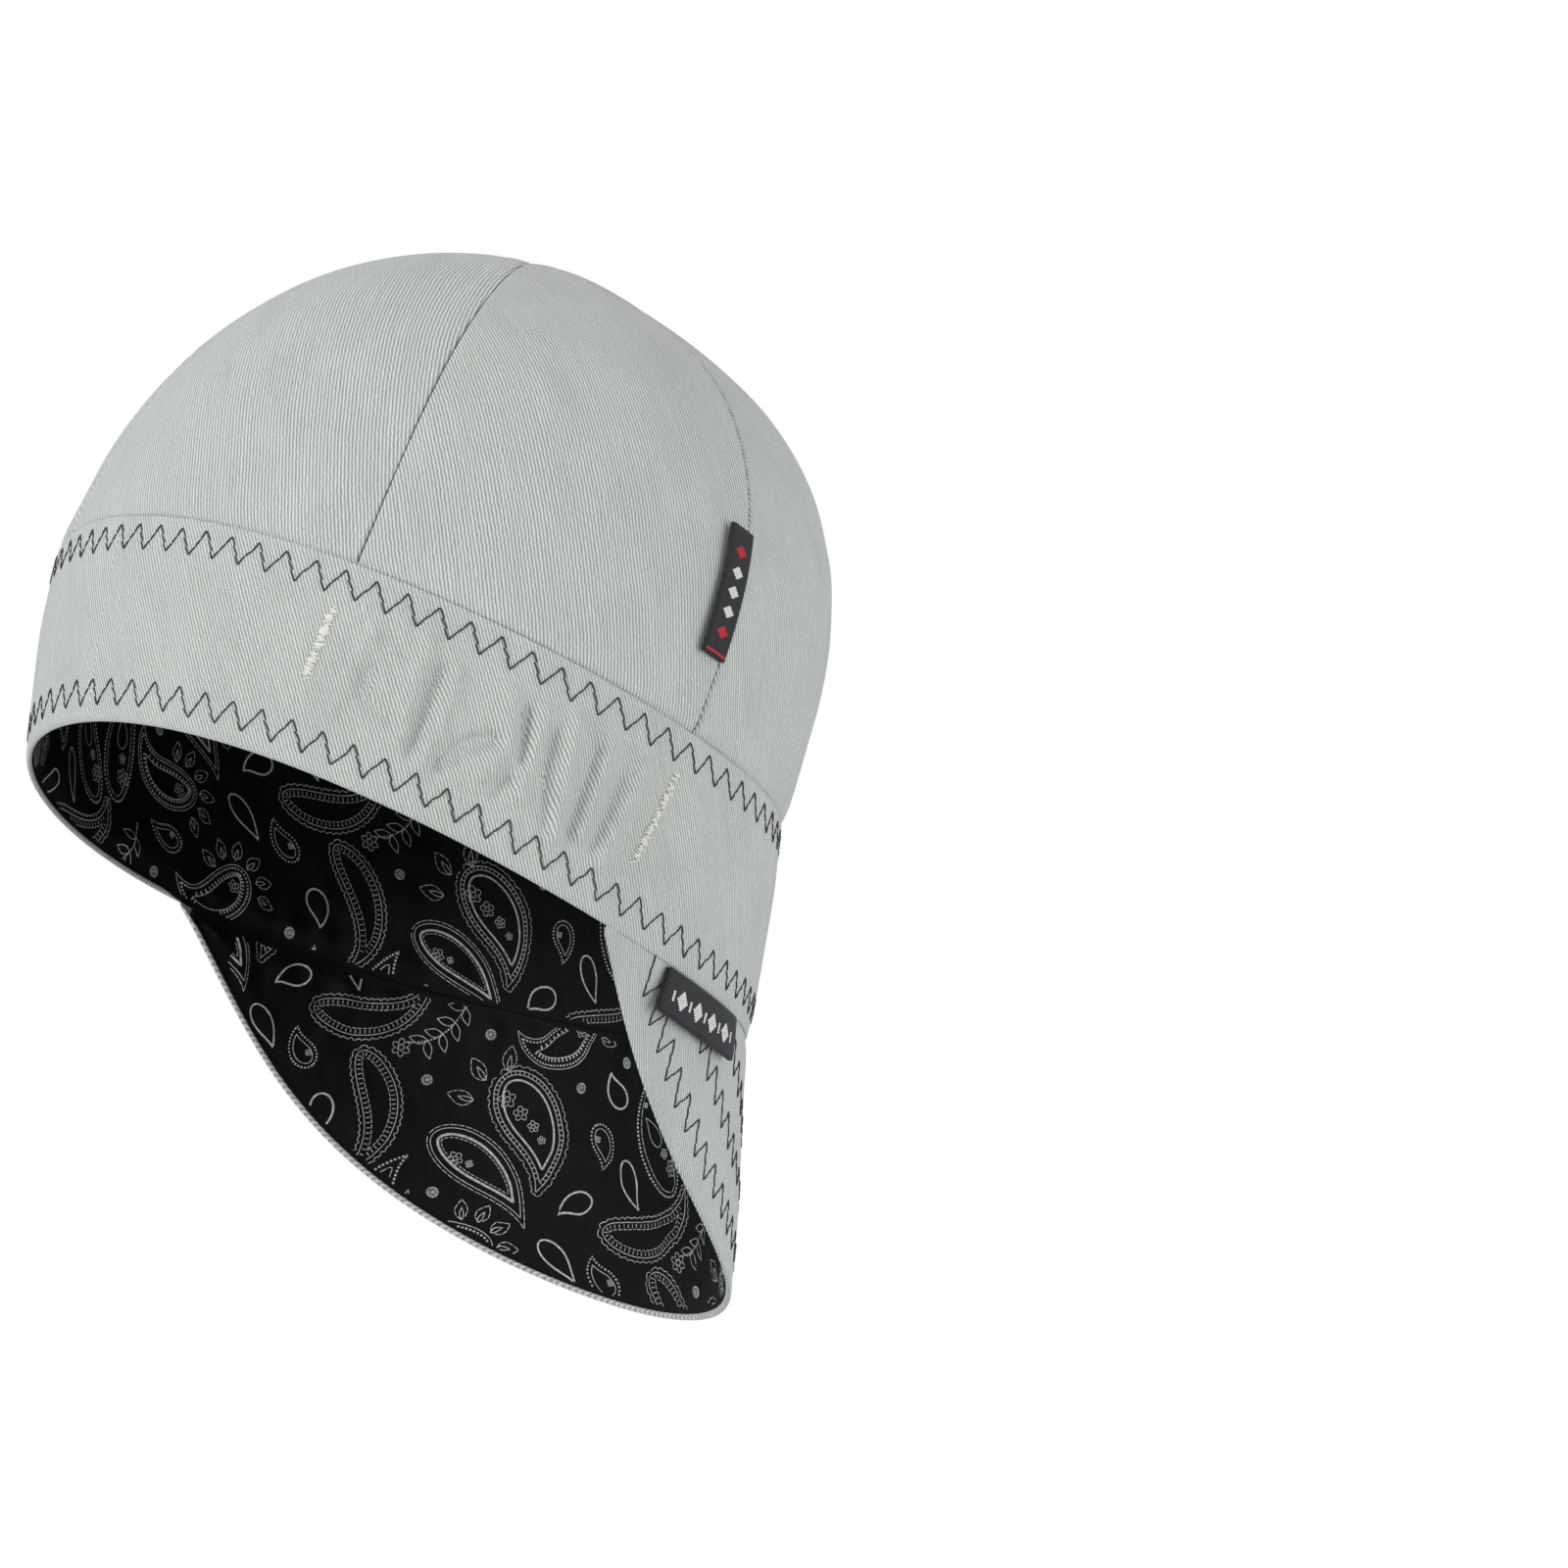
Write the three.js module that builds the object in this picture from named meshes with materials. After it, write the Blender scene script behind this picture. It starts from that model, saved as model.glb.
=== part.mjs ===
// A six-panel welding cap with its light cloth outside and its printed lining inside, in millimetres, +Z up.
// The origin is the middle of the head opening, in the plane of the rim. The bill points along -Y, and +X is
// the wearer's left. Angles around the cap are in degrees from the front, turning to the wearer's left.
import * as THREE from "three";

// Head opening and band
const rimHalfLength = 100;
const rimHalfWidth = 97;
const rimWave = 3.8; // the rim dips at the sides and rises at the front and back by this much
const rimWaveTurn = 11; // how far the rise at the front is turned to the wearer's left, in degrees
const bandHeight = 50.5;
const bandSetback = 14.5; // how far the top of the band lies behind the rim
const bandTaperLength = 2; // how much shorter the band's top is than the rim, front and back
const bandFlareWidth = 6; // how much wider the band's top is than the rim, each side
const bandTopWave = 3;
const bandBulge = 1.2;

// Cloth
const clothWall = 1.2;
const liningWall = 1;
const clearance = 0.3; // between pieces that are sewn together
const hemTurn = 2; // how far the outer cloth is turned in over the lining at a free edge

// Crown
const crownHeight = 119.5; // from the top of the band to the tip
const crownSetback = 13.5; // how far the tip lies behind the top of the band
const crownInset = 0.8; // the band's top edge stands proud of the crown by this much
const crownSidePower = 1.3; // a higher power draws the walls in sooner
const crownSidePowerChange = 0.2; // less at the front, more at the back
const crownTopPower = 0.68; // a lower power makes the shoulder fuller
const crownTopPowerChange = 0.08;
const crownTipShare = 0.011; // the panels end at this share of their width from the tip
const panelPillow = 1.4; // how far each panel swells between its seams
const panelCount = 6;
const gatheredPanelAngle = 56; // the panel above the elastic is drawn narrower than the others
const gatheredPanelMiddle = -110;

// Elastic stretch of the band, on the wearer's right behind the ear
const elasticStart = -141;
const elasticEnd = -87;
const foldDepth = 1.3;

// Bill
const billHalfAngle = 91; // the bill is sewn to the rim this many degrees each side of the front
const billLength = 74;
const billOutlinePower = 1.9; // a higher power gives the bill a squarer end
const billSplayAngle = 28; // outward lean of the bill at the front, in degrees
const billSplayLossAngle = 50; // how much less it leans at its two ends
const billCurlAngle = 5; // how much the lean eases towards the bill's edge
const billInset = 0.4; // the bill is sewn in behind the band's face by this much
const billEndShare = 0.985;

// Woven tabs, each a folded ribbon
const tabWall = 0.5;
const tabFoldGap = 0.4;
const sideTabLength = 33;
const sideTabWidth = 9;
const sideTabRise = 19; // from the top of the band up to the tab, along the crown
const sideTabLift = 28; // degrees that the tab stands off the crown
const billTabStart = -78;
const billTabEnd = -56;
const billTabDrop = 11.5;
const billTabLift = 9;

// Fineness of the facets
const panelColumns = 7;
const panelRows = 13;
const crownRowSpacing = 1.4; // a higher power sets the lower rows closer together
const bandRows = 7;
const bandColumns = 48;
const elasticColumns = 22;
const billRows = 7;
const billInnerRowCount = 5;
const billColumns = 30;
const billLiningSkip = 2; // the lining stops this many columns short of the bill's ends
const tabSteps = 5;

// Folds of the gathered stretch, each with its place and size as shares of the elastic's span, of the
// band's height and of foldDepth. Lean is how far its top is turned to the front, as a share of the span.
const folds = [
  { across: 0.1, up: 0.6, width: 0.05, tall: 0.3, depth: 0.6, lean: 0.1 },
  { across: 0.24, up: 0.52, width: 0.045, tall: 0.34, depth: 0.85, lean: 0.14 },
  { across: 0.38, up: 0.5, width: 0.05, tall: 0.36, depth: 1, lean: 0.16 },
  { across: 0.5, up: 0.4, width: 0.04, tall: 0.24, depth: 0.9, lean: 0.26 },
  { across: 0.6, up: 0.54, width: 0.045, tall: 0.34, depth: 1, lean: 0.16 },
  { across: 0.73, up: 0.48, width: 0.045, tall: 0.36, depth: 0.9, lean: 0.14 },
  { across: 0.86, up: 0.46, width: 0.045, tall: 0.34, depth: 0.7, lean: 0.12 },
];

const radians = THREE.MathUtils.degToRad;
const lerp = THREE.MathUtils.lerp;
const smoothstep = THREE.MathUtils.smoothstep;
const evenly = (count) => Array.from({ length: count + 1 }, (_, i) => i / count);

const liningDepth = clothWall + clearance; // from the outer face to the lining's outer side
const wholeWall = liningDepth + liningWall;

// Level outward direction of the rim's oval at an angle
function outward(angle) {
  const a = radians(angle);
  return new THREE.Vector3(rimHalfLength * Math.sin(a), -rimHalfWidth * Math.cos(a), 0).normalize();
}

// The rim is an oval whose height is a cosine with two waves to the turn
function rimPoint(angle) {
  const a = radians(angle);
  const wave = Math.cos(2 * radians(angle - rimWaveTurn));
  return new THREE.Vector3(rimHalfWidth * Math.sin(a), -rimHalfLength * Math.cos(a), rimWave * wave);
}

function bandTopPoint(angle) {
  const a = radians(angle);
  const x = (rimHalfWidth + bandFlareWidth) * Math.sin(a);
  const y = bandSetback - (rimHalfLength - bandTaperLength) * Math.cos(a);
  return new THREE.Vector3(x, y, bandHeight + bandTopWave * Math.cos(2 * a));
}

// Sum of the folds' ridges, each a bell across and a bell upwards
function foldHeight(angle, up) {
  const across = (angle - elasticStart) / (elasticEnd - elasticStart);
  return folds.reduce((sum, fold) => {
    const offset = across - fold.across - fold.lean * (up - fold.up);
    const bell = Math.exp(-((offset / fold.width) ** 2) - ((up - fold.up) / fold.tall) ** 2);
    return sum + foldDepth * fold.depth * bell;
  }, 0);
}

// A point of the band at a share of its height, a depth behind its face
function bandPoint(angle, up, depth) {
  const point = rimPoint(angle).lerp(bandTopPoint(angle), up);
  return point.addScaledVector(outward(angle), bandBulge * 4 * up * (1 - up) - depth);
}

// The powers that shape the crown's profile at an angle, and the turn at which its panels end
function crownProfile(angle) {
  const front = Math.cos(radians(angle));
  const side = crownSidePower - crownSidePowerChange * front;
  const top = crownTopPower - crownTopPowerChange * front;
  return { side, top, tipTurn: Math.acos(crownTipShare ** (1 / side)) };
}

// The crown's face without its pillows: level position runs from the band to the tip by a power of the
// cosine, and height by a power of the sine, of one turn that grows from 0 to nearly a right angle
function crownFace(angle, along) {
  const { side, top, tipTurn } = crownProfile(angle);
  const turn = tipTurn * along ** crownRowSpacing;
  const base = bandTopPoint(angle).addScaledVector(outward(angle), -crownInset);
  const inward = 1 - Math.cos(turn) ** side;
  const rise = Math.sin(turn) ** top;
  const tip = new THREE.Vector3(0, bandSetback + crownSetback, bandHeight + crownHeight);
  const foot = base.z + clearance;
  return new THREE.Vector3(lerp(base.x, tip.x, inward), lerp(base.y, tip.y, inward), lerp(foot, tip.z, rise));
}

// A point off the crown's face by an offset along its normal, which is read from two short steps
function crownPoint(angle, along, offset) {
  const degrees = 0.5;
  const share = 0.004;
  const low = Math.max(along - share, 0);
  const high = Math.min(along + share, 1);
  const sideways = crownFace(angle + degrees, along).sub(crownFace(angle - degrees, along));
  const upwards = crownFace(angle, high).sub(crownFace(angle, low));
  const normal = sideways.cross(upwards).normalize();
  return crownFace(angle, along).addScaledVector(normal, offset);
}

// How far along the crown a height above the band lies
function alongAtRise(angle, height) {
  const { top, tipTurn } = crownProfile(angle);
  const turn = Math.asin(Math.min(height / crownHeight, 1) ** (1 / top));
  return (turn / tipTurn) ** (1 / crownRowSpacing);
}

function billDepth(angle) {
  return billLength * (1 - Math.abs(angle / billHalfAngle) ** billOutlinePower);
}

// A point of the bill, a distance down from the rim and a depth behind its face
function billPoint(angle, down, depth) {
  const share = angle / billHalfAngle;
  const ease = (down / billDepth(angle)) * (1 - share * share);
  const lean = radians(billSplayAngle - billSplayLossAngle * share * share - billCurlAngle * ease);
  const point = rimPoint(angle);
  point.z -= clearance + down * Math.cos(lean);
  const out = down * Math.sin(lean) - billInset - depth / Math.cos(lean);
  return point.addScaledVector(outward(angle), out);
}

// A closed solid swept through stations: outline(station) gives a flat loop of points, and
// place(station, point) puts each into space. A ring joins its last station to its first.
function sweep(name, material, stations, outline, place, ring = false) {
  const loops = stations.map((station) => outline(station).map((point) => place(station, point)));
  const count = loops[0].length;
  const positions = loops.flat().flatMap((point) => point.toArray());
  const faces = [];
  const spans = ring ? stations.length : stations.length - 1;
  for (let i = 0; i < spans; i += 1) {
    const here = i * count;
    const next = ((i + 1) % stations.length) * count;
    for (let j = 0; j < count; j += 1) {
      const k = (j + 1) % count;
      // The two sides of a wall are split along the same diagonal, so that walls nest
      if (j < count / 2) {
        faces.push(here + j, next + j, next + k, here + j, next + k, here + k);
      } else {
        faces.push(here + j, next + j, here + k, next + j, next + k, here + k);
      }
    }
  }
  if (!ring) {
    const last = (stations.length - 1) * count;
    for (const [a, b, c] of endCap(outline(stations[0]))) {
      faces.push(a, b, c);
    }
    for (const [a, b, c] of endCap(outline(stations.at(-1)))) {
      faces.push(last + a, last + c, last + b);
    }
  }
  const geometry = new THREE.BufferGeometry();
  geometry.setAttribute("position", new THREE.Float32BufferAttribute(positions, 3));
  geometry.setIndex(signedVolume(positions, faces) < 0 ? faces.reverse() : faces);
  geometry.computeVertexNormals();
  const mesh = new THREE.Mesh(geometry, material);
  mesh.name = name;
  return mesh;
}

function signedVolume(positions, faces) {
  const corner = (i) => new THREE.Vector3().fromArray(positions, 3 * faces[i]);
  let volume = 0;
  for (let i = 0; i < faces.length; i += 3) {
    volume += corner(i).dot(corner(i + 1).cross(corner(i + 2)));
  }
  return volume;
}

// Triangles that close a loop. The two sides of an even strip follow a curved wall, so each point is
// joined to the one behind it, and any other loop is cut flat.
function endCap(loop) {
  const last = loop.length - 1;
  if (!loop.every((point, i) => Math.abs(point.x - loop[last - i].x) < 1e-9)) {
    return THREE.ShapeUtils.triangulateShape(loop, []);
  }
  return Array.from({ length: (last - 1) / 2 }, (_, i) => [
    [i, i + 1, last - i - 1],
    [i, last - i - 1, last - i],
  ]).flat();
}

// A flat strip between two depths, with a row of points along each side
function strip(rows, start, end, near, far) {
  const shares = evenly(rows);
  const face = shares.map((share) => new THREE.Vector2(lerp(start, end, share), near));
  const back = shares.map((share) => new THREE.Vector2(lerp(end, start, share), far));
  return [...face, ...back];
}

const greyTwill = new THREE.MeshStandardMaterial({ color: 0xc5c8c2, roughness: 0.9, metalness: 0 });
const printedLining = new THREE.MeshStandardMaterial({ color: 0x17191a, roughness: 0.85, metalness: 0 });
const wovenRibbon = new THREE.MeshStandardMaterial({ color: 0x1e2226, roughness: 0.7, metalness: 0 });

// Crown panels and their linings, each between two seams
function panelSeams() {
  const others = (360 - gatheredPanelAngle) / (panelCount - 1);
  const start = gatheredPanelMiddle - gatheredPanelAngle / 2;
  return Array.from({ length: panelCount + 1 }, (_, i) => {
    return i === 0 ? start : start + gatheredPanelAngle + (i - 1) * others;
  });
}

function crownPiece(name, material, from, to, near, far) {
  const across = evenly(panelColumns).map((share) => 2 * share - 1);
  const middle = (from + to) / 2;
  const half = (to - from) / 2;
  const outline = () => strip(panelRows, 0, 1, near, far);
  const place = (side, point) => {
    const angle = middle + side * half;
    const width = crownFace(angle + 1, point.x).distanceTo(crownFace(angle - 1, point.x)) / 2;
    const trimmed = middle + side * (half - clearance / 2 / width);
    const pillow = panelPillow * (1 - side * side) * Math.sin(Math.PI * point.x);
    return crownPoint(trimmed, point.x, pillow - point.y);
  };
  return sweep(name, material, across, outline, place);
}

function crownPieces() {
  const seams = panelSeams();
  return seams.slice(0, -1).flatMap((from, i) => [
    crownPiece(`crown_panel_${i + 1}`, greyTwill, from, seams[i + 1], 0, clothWall),
    crownPiece(`crown_lining_${i + 1}`, printedLining, from, seams[i + 1], liningDepth, wholeWall),
  ]);
}

// Angles around the band, closer together over the elastic
function bandAngles() {
  const elastic = evenly(elasticColumns).map((share) => lerp(elasticStart, elasticEnd, share));
  const rest = evenly(bandColumns).map((share) => lerp(elasticEnd, elasticStart + 360, share));
  return [...elastic, ...rest.slice(1, -1)];
}

// How far the hem is turned up inside the rim: only behind the bill's ends
function hemRise(angle) {
  const fromFront = Math.abs(THREE.MathUtils.euclideanModulo(angle + 180, 360) - 180);
  return lerp(clearance, hemTurn, smoothstep(fromFront, billHalfAngle - 2, billHalfAngle + 4));
}

// Heights up the inside of the band, from a lowest one, which the cloth and the lining share
function innerRows(lowest) {
  return evenly(3).map((up) => Math.max(up, lowest));
}

function band() {
  const outline = (angle) => {
    const hem = hemRise(angle) / bandHeight;
    const face = evenly(bandRows).map((up) => new THREE.Vector2(1 - up, 0));
    const back = innerRows(hem).map((up) => new THREE.Vector2(up, clothWall));
    return [...face, new THREE.Vector2(0, wholeWall), new THREE.Vector2(hem, wholeWall), ...back];
  };
  const place = (angle, point) => {
    const fold = point.y === 0 ? foldHeight(angle, point.x) : 0;
    return bandPoint(angle, point.x, point.y - fold);
  };
  return sweep("band", greyTwill, bandAngles(), outline, place, true);
}

function bandLining() {
  const outline = (angle) => {
    const rows = innerRows((hemRise(angle) + clearance) / bandHeight);
    const near = rows.map((up) => new THREE.Vector2(up, liningDepth));
    const far = rows.map((up) => new THREE.Vector2(up, wholeWall));
    return [...near, ...far.reverse()];
  };
  const place = (angle, point) => bandPoint(angle, point.x, point.y);
  return sweep("band_lining", printedLining, bandAngles(), outline, place, true);
}

// Angles across the bill, closer together towards its narrow ends
function billAngles() {
  return evenly(billColumns).map((share) => billHalfAngle * billEndShare * Math.sin(Math.PI * (share - 0.5)));
}

function billHem(angle) {
  return Math.min(hemTurn, 0.4 * billDepth(angle));
}

// Distances down the inside of the bill that the cloth and the lining share
function billInnerRows(angle) {
  const end = billDepth(angle) - billHem(angle) - clearance;
  return evenly(billInnerRowCount).map((share) => share * end);
}

function bill() {
  const outline = (angle) => {
    const depth = billDepth(angle);
    const hem = depth - billHem(angle);
    const face = evenly(billRows).map((share) => new THREE.Vector2(depth * share, 0));
    const back = billInnerRows(angle).map((down) => new THREE.Vector2(down, clothWall));
    const turn = [new THREE.Vector2(depth, wholeWall), new THREE.Vector2(hem, wholeWall)];
    return [...face, ...turn, new THREE.Vector2(hem, clothWall), ...back.reverse()];
  };
  const place = (angle, point) => billPoint(angle, point.x, point.y);
  return sweep("bill", greyTwill, billAngles(), outline, place);
}

function billLining() {
  const outline = (angle) => {
    const rows = billInnerRows(angle);
    const near = rows.map((down) => new THREE.Vector2(down, liningDepth));
    const far = rows.map((down) => new THREE.Vector2(down, wholeWall));
    return [...near, ...far.reverse()];
  };
  const angles = billAngles().slice(billLiningSkip, -billLiningSkip);
  const place = (angle, point) => billPoint(angle, point.x, point.y);
  return sweep("bill_lining", printedLining, angles, outline, place);
}

// Section of a ribbon folded in two: x runs from its sewn edge to the fold, y through its thickness
function ribbonOutline(width) {
  const back = 2 * tabWall + tabFoldGap;
  return [
    new THREE.Vector2(0, 0),
    new THREE.Vector2(width - back / 3, 0),
    new THREE.Vector2(width, back / 3),
    new THREE.Vector2(width, (2 * back) / 3),
    new THREE.Vector2(width - back / 3, back),
    new THREE.Vector2(0, back),
    new THREE.Vector2(0, back - tabWall),
    new THREE.Vector2(width - back / 2, back - tabWall),
    new THREE.Vector2(width - back / 2, tabWall),
    new THREE.Vector2(0, tabWall),
  ];
}

// The side tab is sewn in the seam in front of the gathered panel and folds back over that panel
function sideTab() {
  const angle = gatheredPanelMiddle + gatheredPanelAngle / 2;
  const lift = radians(sideTabLift);
  const place = (share, point) => {
    const along = alongAtRise(angle, sideTabRise + sideTabLength * share);
    const root = crownPoint(angle, along, clearance);
    const normal = crownPoint(angle, along, 1 + clearance).sub(root);
    const back = crownPoint(angle - 1, along, clearance).sub(root).normalize();
    const run = back.clone().multiplyScalar(Math.cos(lift)).addScaledVector(normal, Math.sin(lift));
    const through = normal.clone().multiplyScalar(Math.cos(lift)).addScaledVector(back, -Math.sin(lift));
    return root.addScaledVector(run, point.x).addScaledVector(through, point.y);
  };
  return sweep("side_tab", wovenRibbon, evenly(tabSteps), () => ribbonOutline(sideTabWidth), place);
}

// The bill tab is sewn in the seam between the band and the bill and hangs over the bill
function billTab() {
  const lift = radians(billTabLift);
  const angles = evenly(tabSteps).map((share) => lerp(billTabStart, billTabEnd, share));
  const place = (angle, point) => {
    const root = billPoint(angle, clearance, -clearance);
    const out = point.x * Math.sin(lift) + point.y * Math.cos(lift);
    const down = point.x * Math.cos(lift) - point.y * Math.sin(lift);
    const seat = billPoint(angle, clearance + point.x, -clearance).sub(root);
    const clear = Math.max(0, seat.dot(outward(angle)));
    root.addScaledVector(outward(angle), out + clear);
    root.z -= down;
    return root;
  };
  return sweep("bill_tab", wovenRibbon, angles, () => ribbonOutline(billTabDrop), place);
}

const cap = new THREE.Group();
cap.name = "welding_cap";
cap.add(...crownPieces(), band(), bandLining(), bill(), billLining(), sideTab(), billTab());

export default cap;
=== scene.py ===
# The finished look of a six-panel welding cap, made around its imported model: light twill outside, a dark
# printed lining inside, zigzag stitching, a gathered elastic stretch and two woven tabs.
import bmesh
import bpy
import numpy as np
from bpy.props import FloatProperty, FloatVectorProperty, IntProperty, PointerProperty
from bpy.types import NodeSocket, Operator, Panel, PropertyGroup
from mathutils import Matrix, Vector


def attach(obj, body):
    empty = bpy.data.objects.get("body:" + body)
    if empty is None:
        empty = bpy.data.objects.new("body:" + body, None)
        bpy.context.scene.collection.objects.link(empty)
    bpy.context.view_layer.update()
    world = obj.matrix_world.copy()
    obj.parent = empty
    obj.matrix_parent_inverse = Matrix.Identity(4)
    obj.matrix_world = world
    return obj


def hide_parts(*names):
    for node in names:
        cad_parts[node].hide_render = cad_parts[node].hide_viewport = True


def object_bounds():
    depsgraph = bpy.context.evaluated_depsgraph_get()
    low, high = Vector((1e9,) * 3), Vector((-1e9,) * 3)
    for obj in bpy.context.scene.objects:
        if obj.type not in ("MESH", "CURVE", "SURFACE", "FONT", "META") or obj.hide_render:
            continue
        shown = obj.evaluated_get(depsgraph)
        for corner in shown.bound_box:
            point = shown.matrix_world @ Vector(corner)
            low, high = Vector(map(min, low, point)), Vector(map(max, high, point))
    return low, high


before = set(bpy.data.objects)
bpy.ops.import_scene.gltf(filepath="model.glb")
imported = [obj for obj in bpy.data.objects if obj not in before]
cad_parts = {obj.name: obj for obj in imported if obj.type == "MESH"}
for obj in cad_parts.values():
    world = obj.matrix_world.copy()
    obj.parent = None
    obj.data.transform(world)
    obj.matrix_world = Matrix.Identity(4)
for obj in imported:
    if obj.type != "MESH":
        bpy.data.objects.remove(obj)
CAP_LOW, CAP_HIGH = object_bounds()

bl_info = {
    "name": "Welding cap",
    "version": (1, 0, 0),
    "blender": (4, 5, 0),
    "location": "View3D > Sidebar > Cap",
    "description": "Makes the cloth, stitching, lining print and tabs of a welding cap",
    "category": "Add Mesh",
}

MM = 0.001
BODY = "root"
WEAVE_UV = "Weave"
UPRIGHT = np.array([0, 0, 1.0])
PANEL_COUNT = 6
ROUND_SAMPLES = 1441  # points of a line that follows the band or the bill all along
CUT_SAMPLES = 600  # points of a panel's middle line
EDGE_SAMPLES = 5  # rows of points over a rolled edge
RIBBON_SAMPLES = 34  # points of a folded ribbon's section along its length
RIBBON_STATIONS = 26  # sections of a folded ribbon
STITCH_SAMPLES = 8  # rings of a dark stitch
END_STITCH_SAMPLES = 7  # rings of a light stitch
THREAD_LIFT = 0.95  # share of its radius by which a dark stitch's middle line rises over the cloth

# Lean of the twill's ribs from upright on each piece, in degrees
CROWN_RIBS = -26
BAND_RIBS = -31
BILL_RIBS = -58

# Size and seed of the broad and of the small ripples of the outer cloth
CROWN_RIPPLES = ((62 * MM, 1), (17 * MM, 2))
BAND_RIPPLES = ((46 * MM, 3), (15 * MM, 4))
BILL_RIPPLES = ((34 * MM, 5), (13 * MM, 6))

# Share of the broad ripples' height that the sewn band and bill take
SEWN_RIPPLES = 0.6

# Seeds of the linings' creases
CROWN_CREASES = 21
BAND_CREASES = 31
BILL_CREASES = 41

# Distances from a piece's edges between which its unevenness fades in
BAND_FADE = (0, 5 * MM)
BILL_FADE = (0, 4 * MM)
BAND_LINING_FADE = (1.5 * MM, 7 * MM)
BILL_LINING_FADE = (0.5 * MM, 6 * MM)

# Shares of the bill's half angle that its cloth, its lining and the lining's print span
BILL_CLOTH_SPAN = 0.997
BILL_LINING_SPAN = 0.975
BILL_PRINT_SPAN = 0.88

# Share of a panel's half width that the lining's print spans
PANEL_PRINT_SPAN = 0.97

# How far the print is shifted on the lining of the band, of the bill and of each next panel, in metres
BAND_SHIFT = np.array([0.0, -0.02])
BILL_SHIFT = np.array([0.03, 0.01])
PANEL_SHIFT = np.array([0.041, 0.023])


def linear(hex_colour):
    """sRGB hex to linear: below 0.04045 a straight line, above it a power of 2.4."""
    value = np.array([int(hex_colour[i:i + 2], 16) for i in (1, 3, 5)]) / 255
    return tuple(np.where(value <= 0.04045, value / 12.92, ((value + 0.055) / 1.055) ** 2.4))


def length(name, millimetres, description):
    """A length property, given in millimetres and kept in metres."""
    return FloatProperty(name=name, description=description, default=millimetres * MM, unit="LENGTH")


def turn(name, degrees, description):
    """An angle property, given in degrees and kept in radians."""
    return FloatProperty(name=name, description=description, default=np.radians(degrees), unit="ROTATION")


def share(name, value, description):
    """A property with no unit, such as a share of a length or a power."""
    return FloatProperty(name=name, description=description, default=value)


def colour(name, hex_colour, description):
    """A colour property, given as sRGB hex and kept linear."""
    default = linear(hex_colour)
    return FloatVectorProperty(name=name, description=description, default=default, subtype="COLOR")


class CapShape(PropertyGroup):
    """Sizes of the head opening, band, crown and bill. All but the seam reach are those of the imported
    model."""

    rim_half_length: length("Rim half length", 100, "From the middle of the opening to the rim's front")
    rim_half_width: length("Rim half width", 97, "From the middle of the opening to the rim's side")
    rim_wave: length("Rim wave", 3.8, "How far the rim rises at the front and back and dips at the sides")
    rim_wave_turn: turn("Rim wave turn", 11, "How far the rise at the front is turned to the wearer's left")
    band_height: length("Band height", 50.5, "Height of the top of the band")
    band_setback: length("Band setback", 14.5, "How far the band's top lies behind the rim")
    band_taper: length("Band taper", 2, "How much shorter the band's top is than the rim, front and back")
    band_flare: length("Band flare", 6, "How much wider the band's top is than the rim, each side")
    band_top_wave: length("Band top wave", 3, "Rise of the band's top at the front and back")
    band_bulge: length("Band bulge", 1.2, "Swell of the band half way up")
    crown_height: length("Crown height", 119.5, "From the top of the band to the tip")
    crown_setback: length("Crown setback", 13.5, "How far the tip lies behind the band's top")
    crown_inset: length("Crown inset", 0.8, "How far the crown stands in from the band's top edge")
    crown_side: share("Crown side", 1.3, "A higher power draws the walls in sooner")
    crown_side_change: share("Crown side change", 0.2, "Less of that power at the front, more at the back")
    crown_top: share("Crown top", 0.68, "A lower power makes the shoulder fuller")
    crown_top_change: share("Crown top change", 0.08, "Less of that power at the front, more at the back")
    crown_tip_share: share("Tip share", 0.003, "Share of their width at which the panels end")
    panel_pillow: length("Panel pillow", 1.4, "How far each panel swells between its seams")
    gathered_angle: turn("Gathered panel", 56, "Width of the panel above the elastic")
    gathered_middle: turn("Gathered panel's middle", -110, "Its place, from the front to the wearer's left")
    bill_half_angle: turn("Bill half angle", 91, "The bill is sewn on this far each side of the front")
    bill_length: length("Bill length", 74, "From the rim to the bill's edge at the front")
    bill_outline: share("Bill outline", 1.9, "A higher power gives the bill a squarer end")
    bill_splay: turn("Bill splay", 28, "Outward lean of the bill at the front")
    bill_splay_loss: turn("Bill splay loss", 50, "How much less it leans at its two ends")
    bill_curl: turn("Bill curl", 5, "How much the lean eases towards the bill's edge")
    bill_inset: length("Bill inset", 0.4, "How far behind the band's face the bill is sewn")
    clearance: length("Clearance", 0.3, "Gap between the bill or a tab and what it is sewn to")
    seam_reach: length("Seam reach", 0.15, "How far the crown's sewn edge reaches down into the band's")


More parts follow.
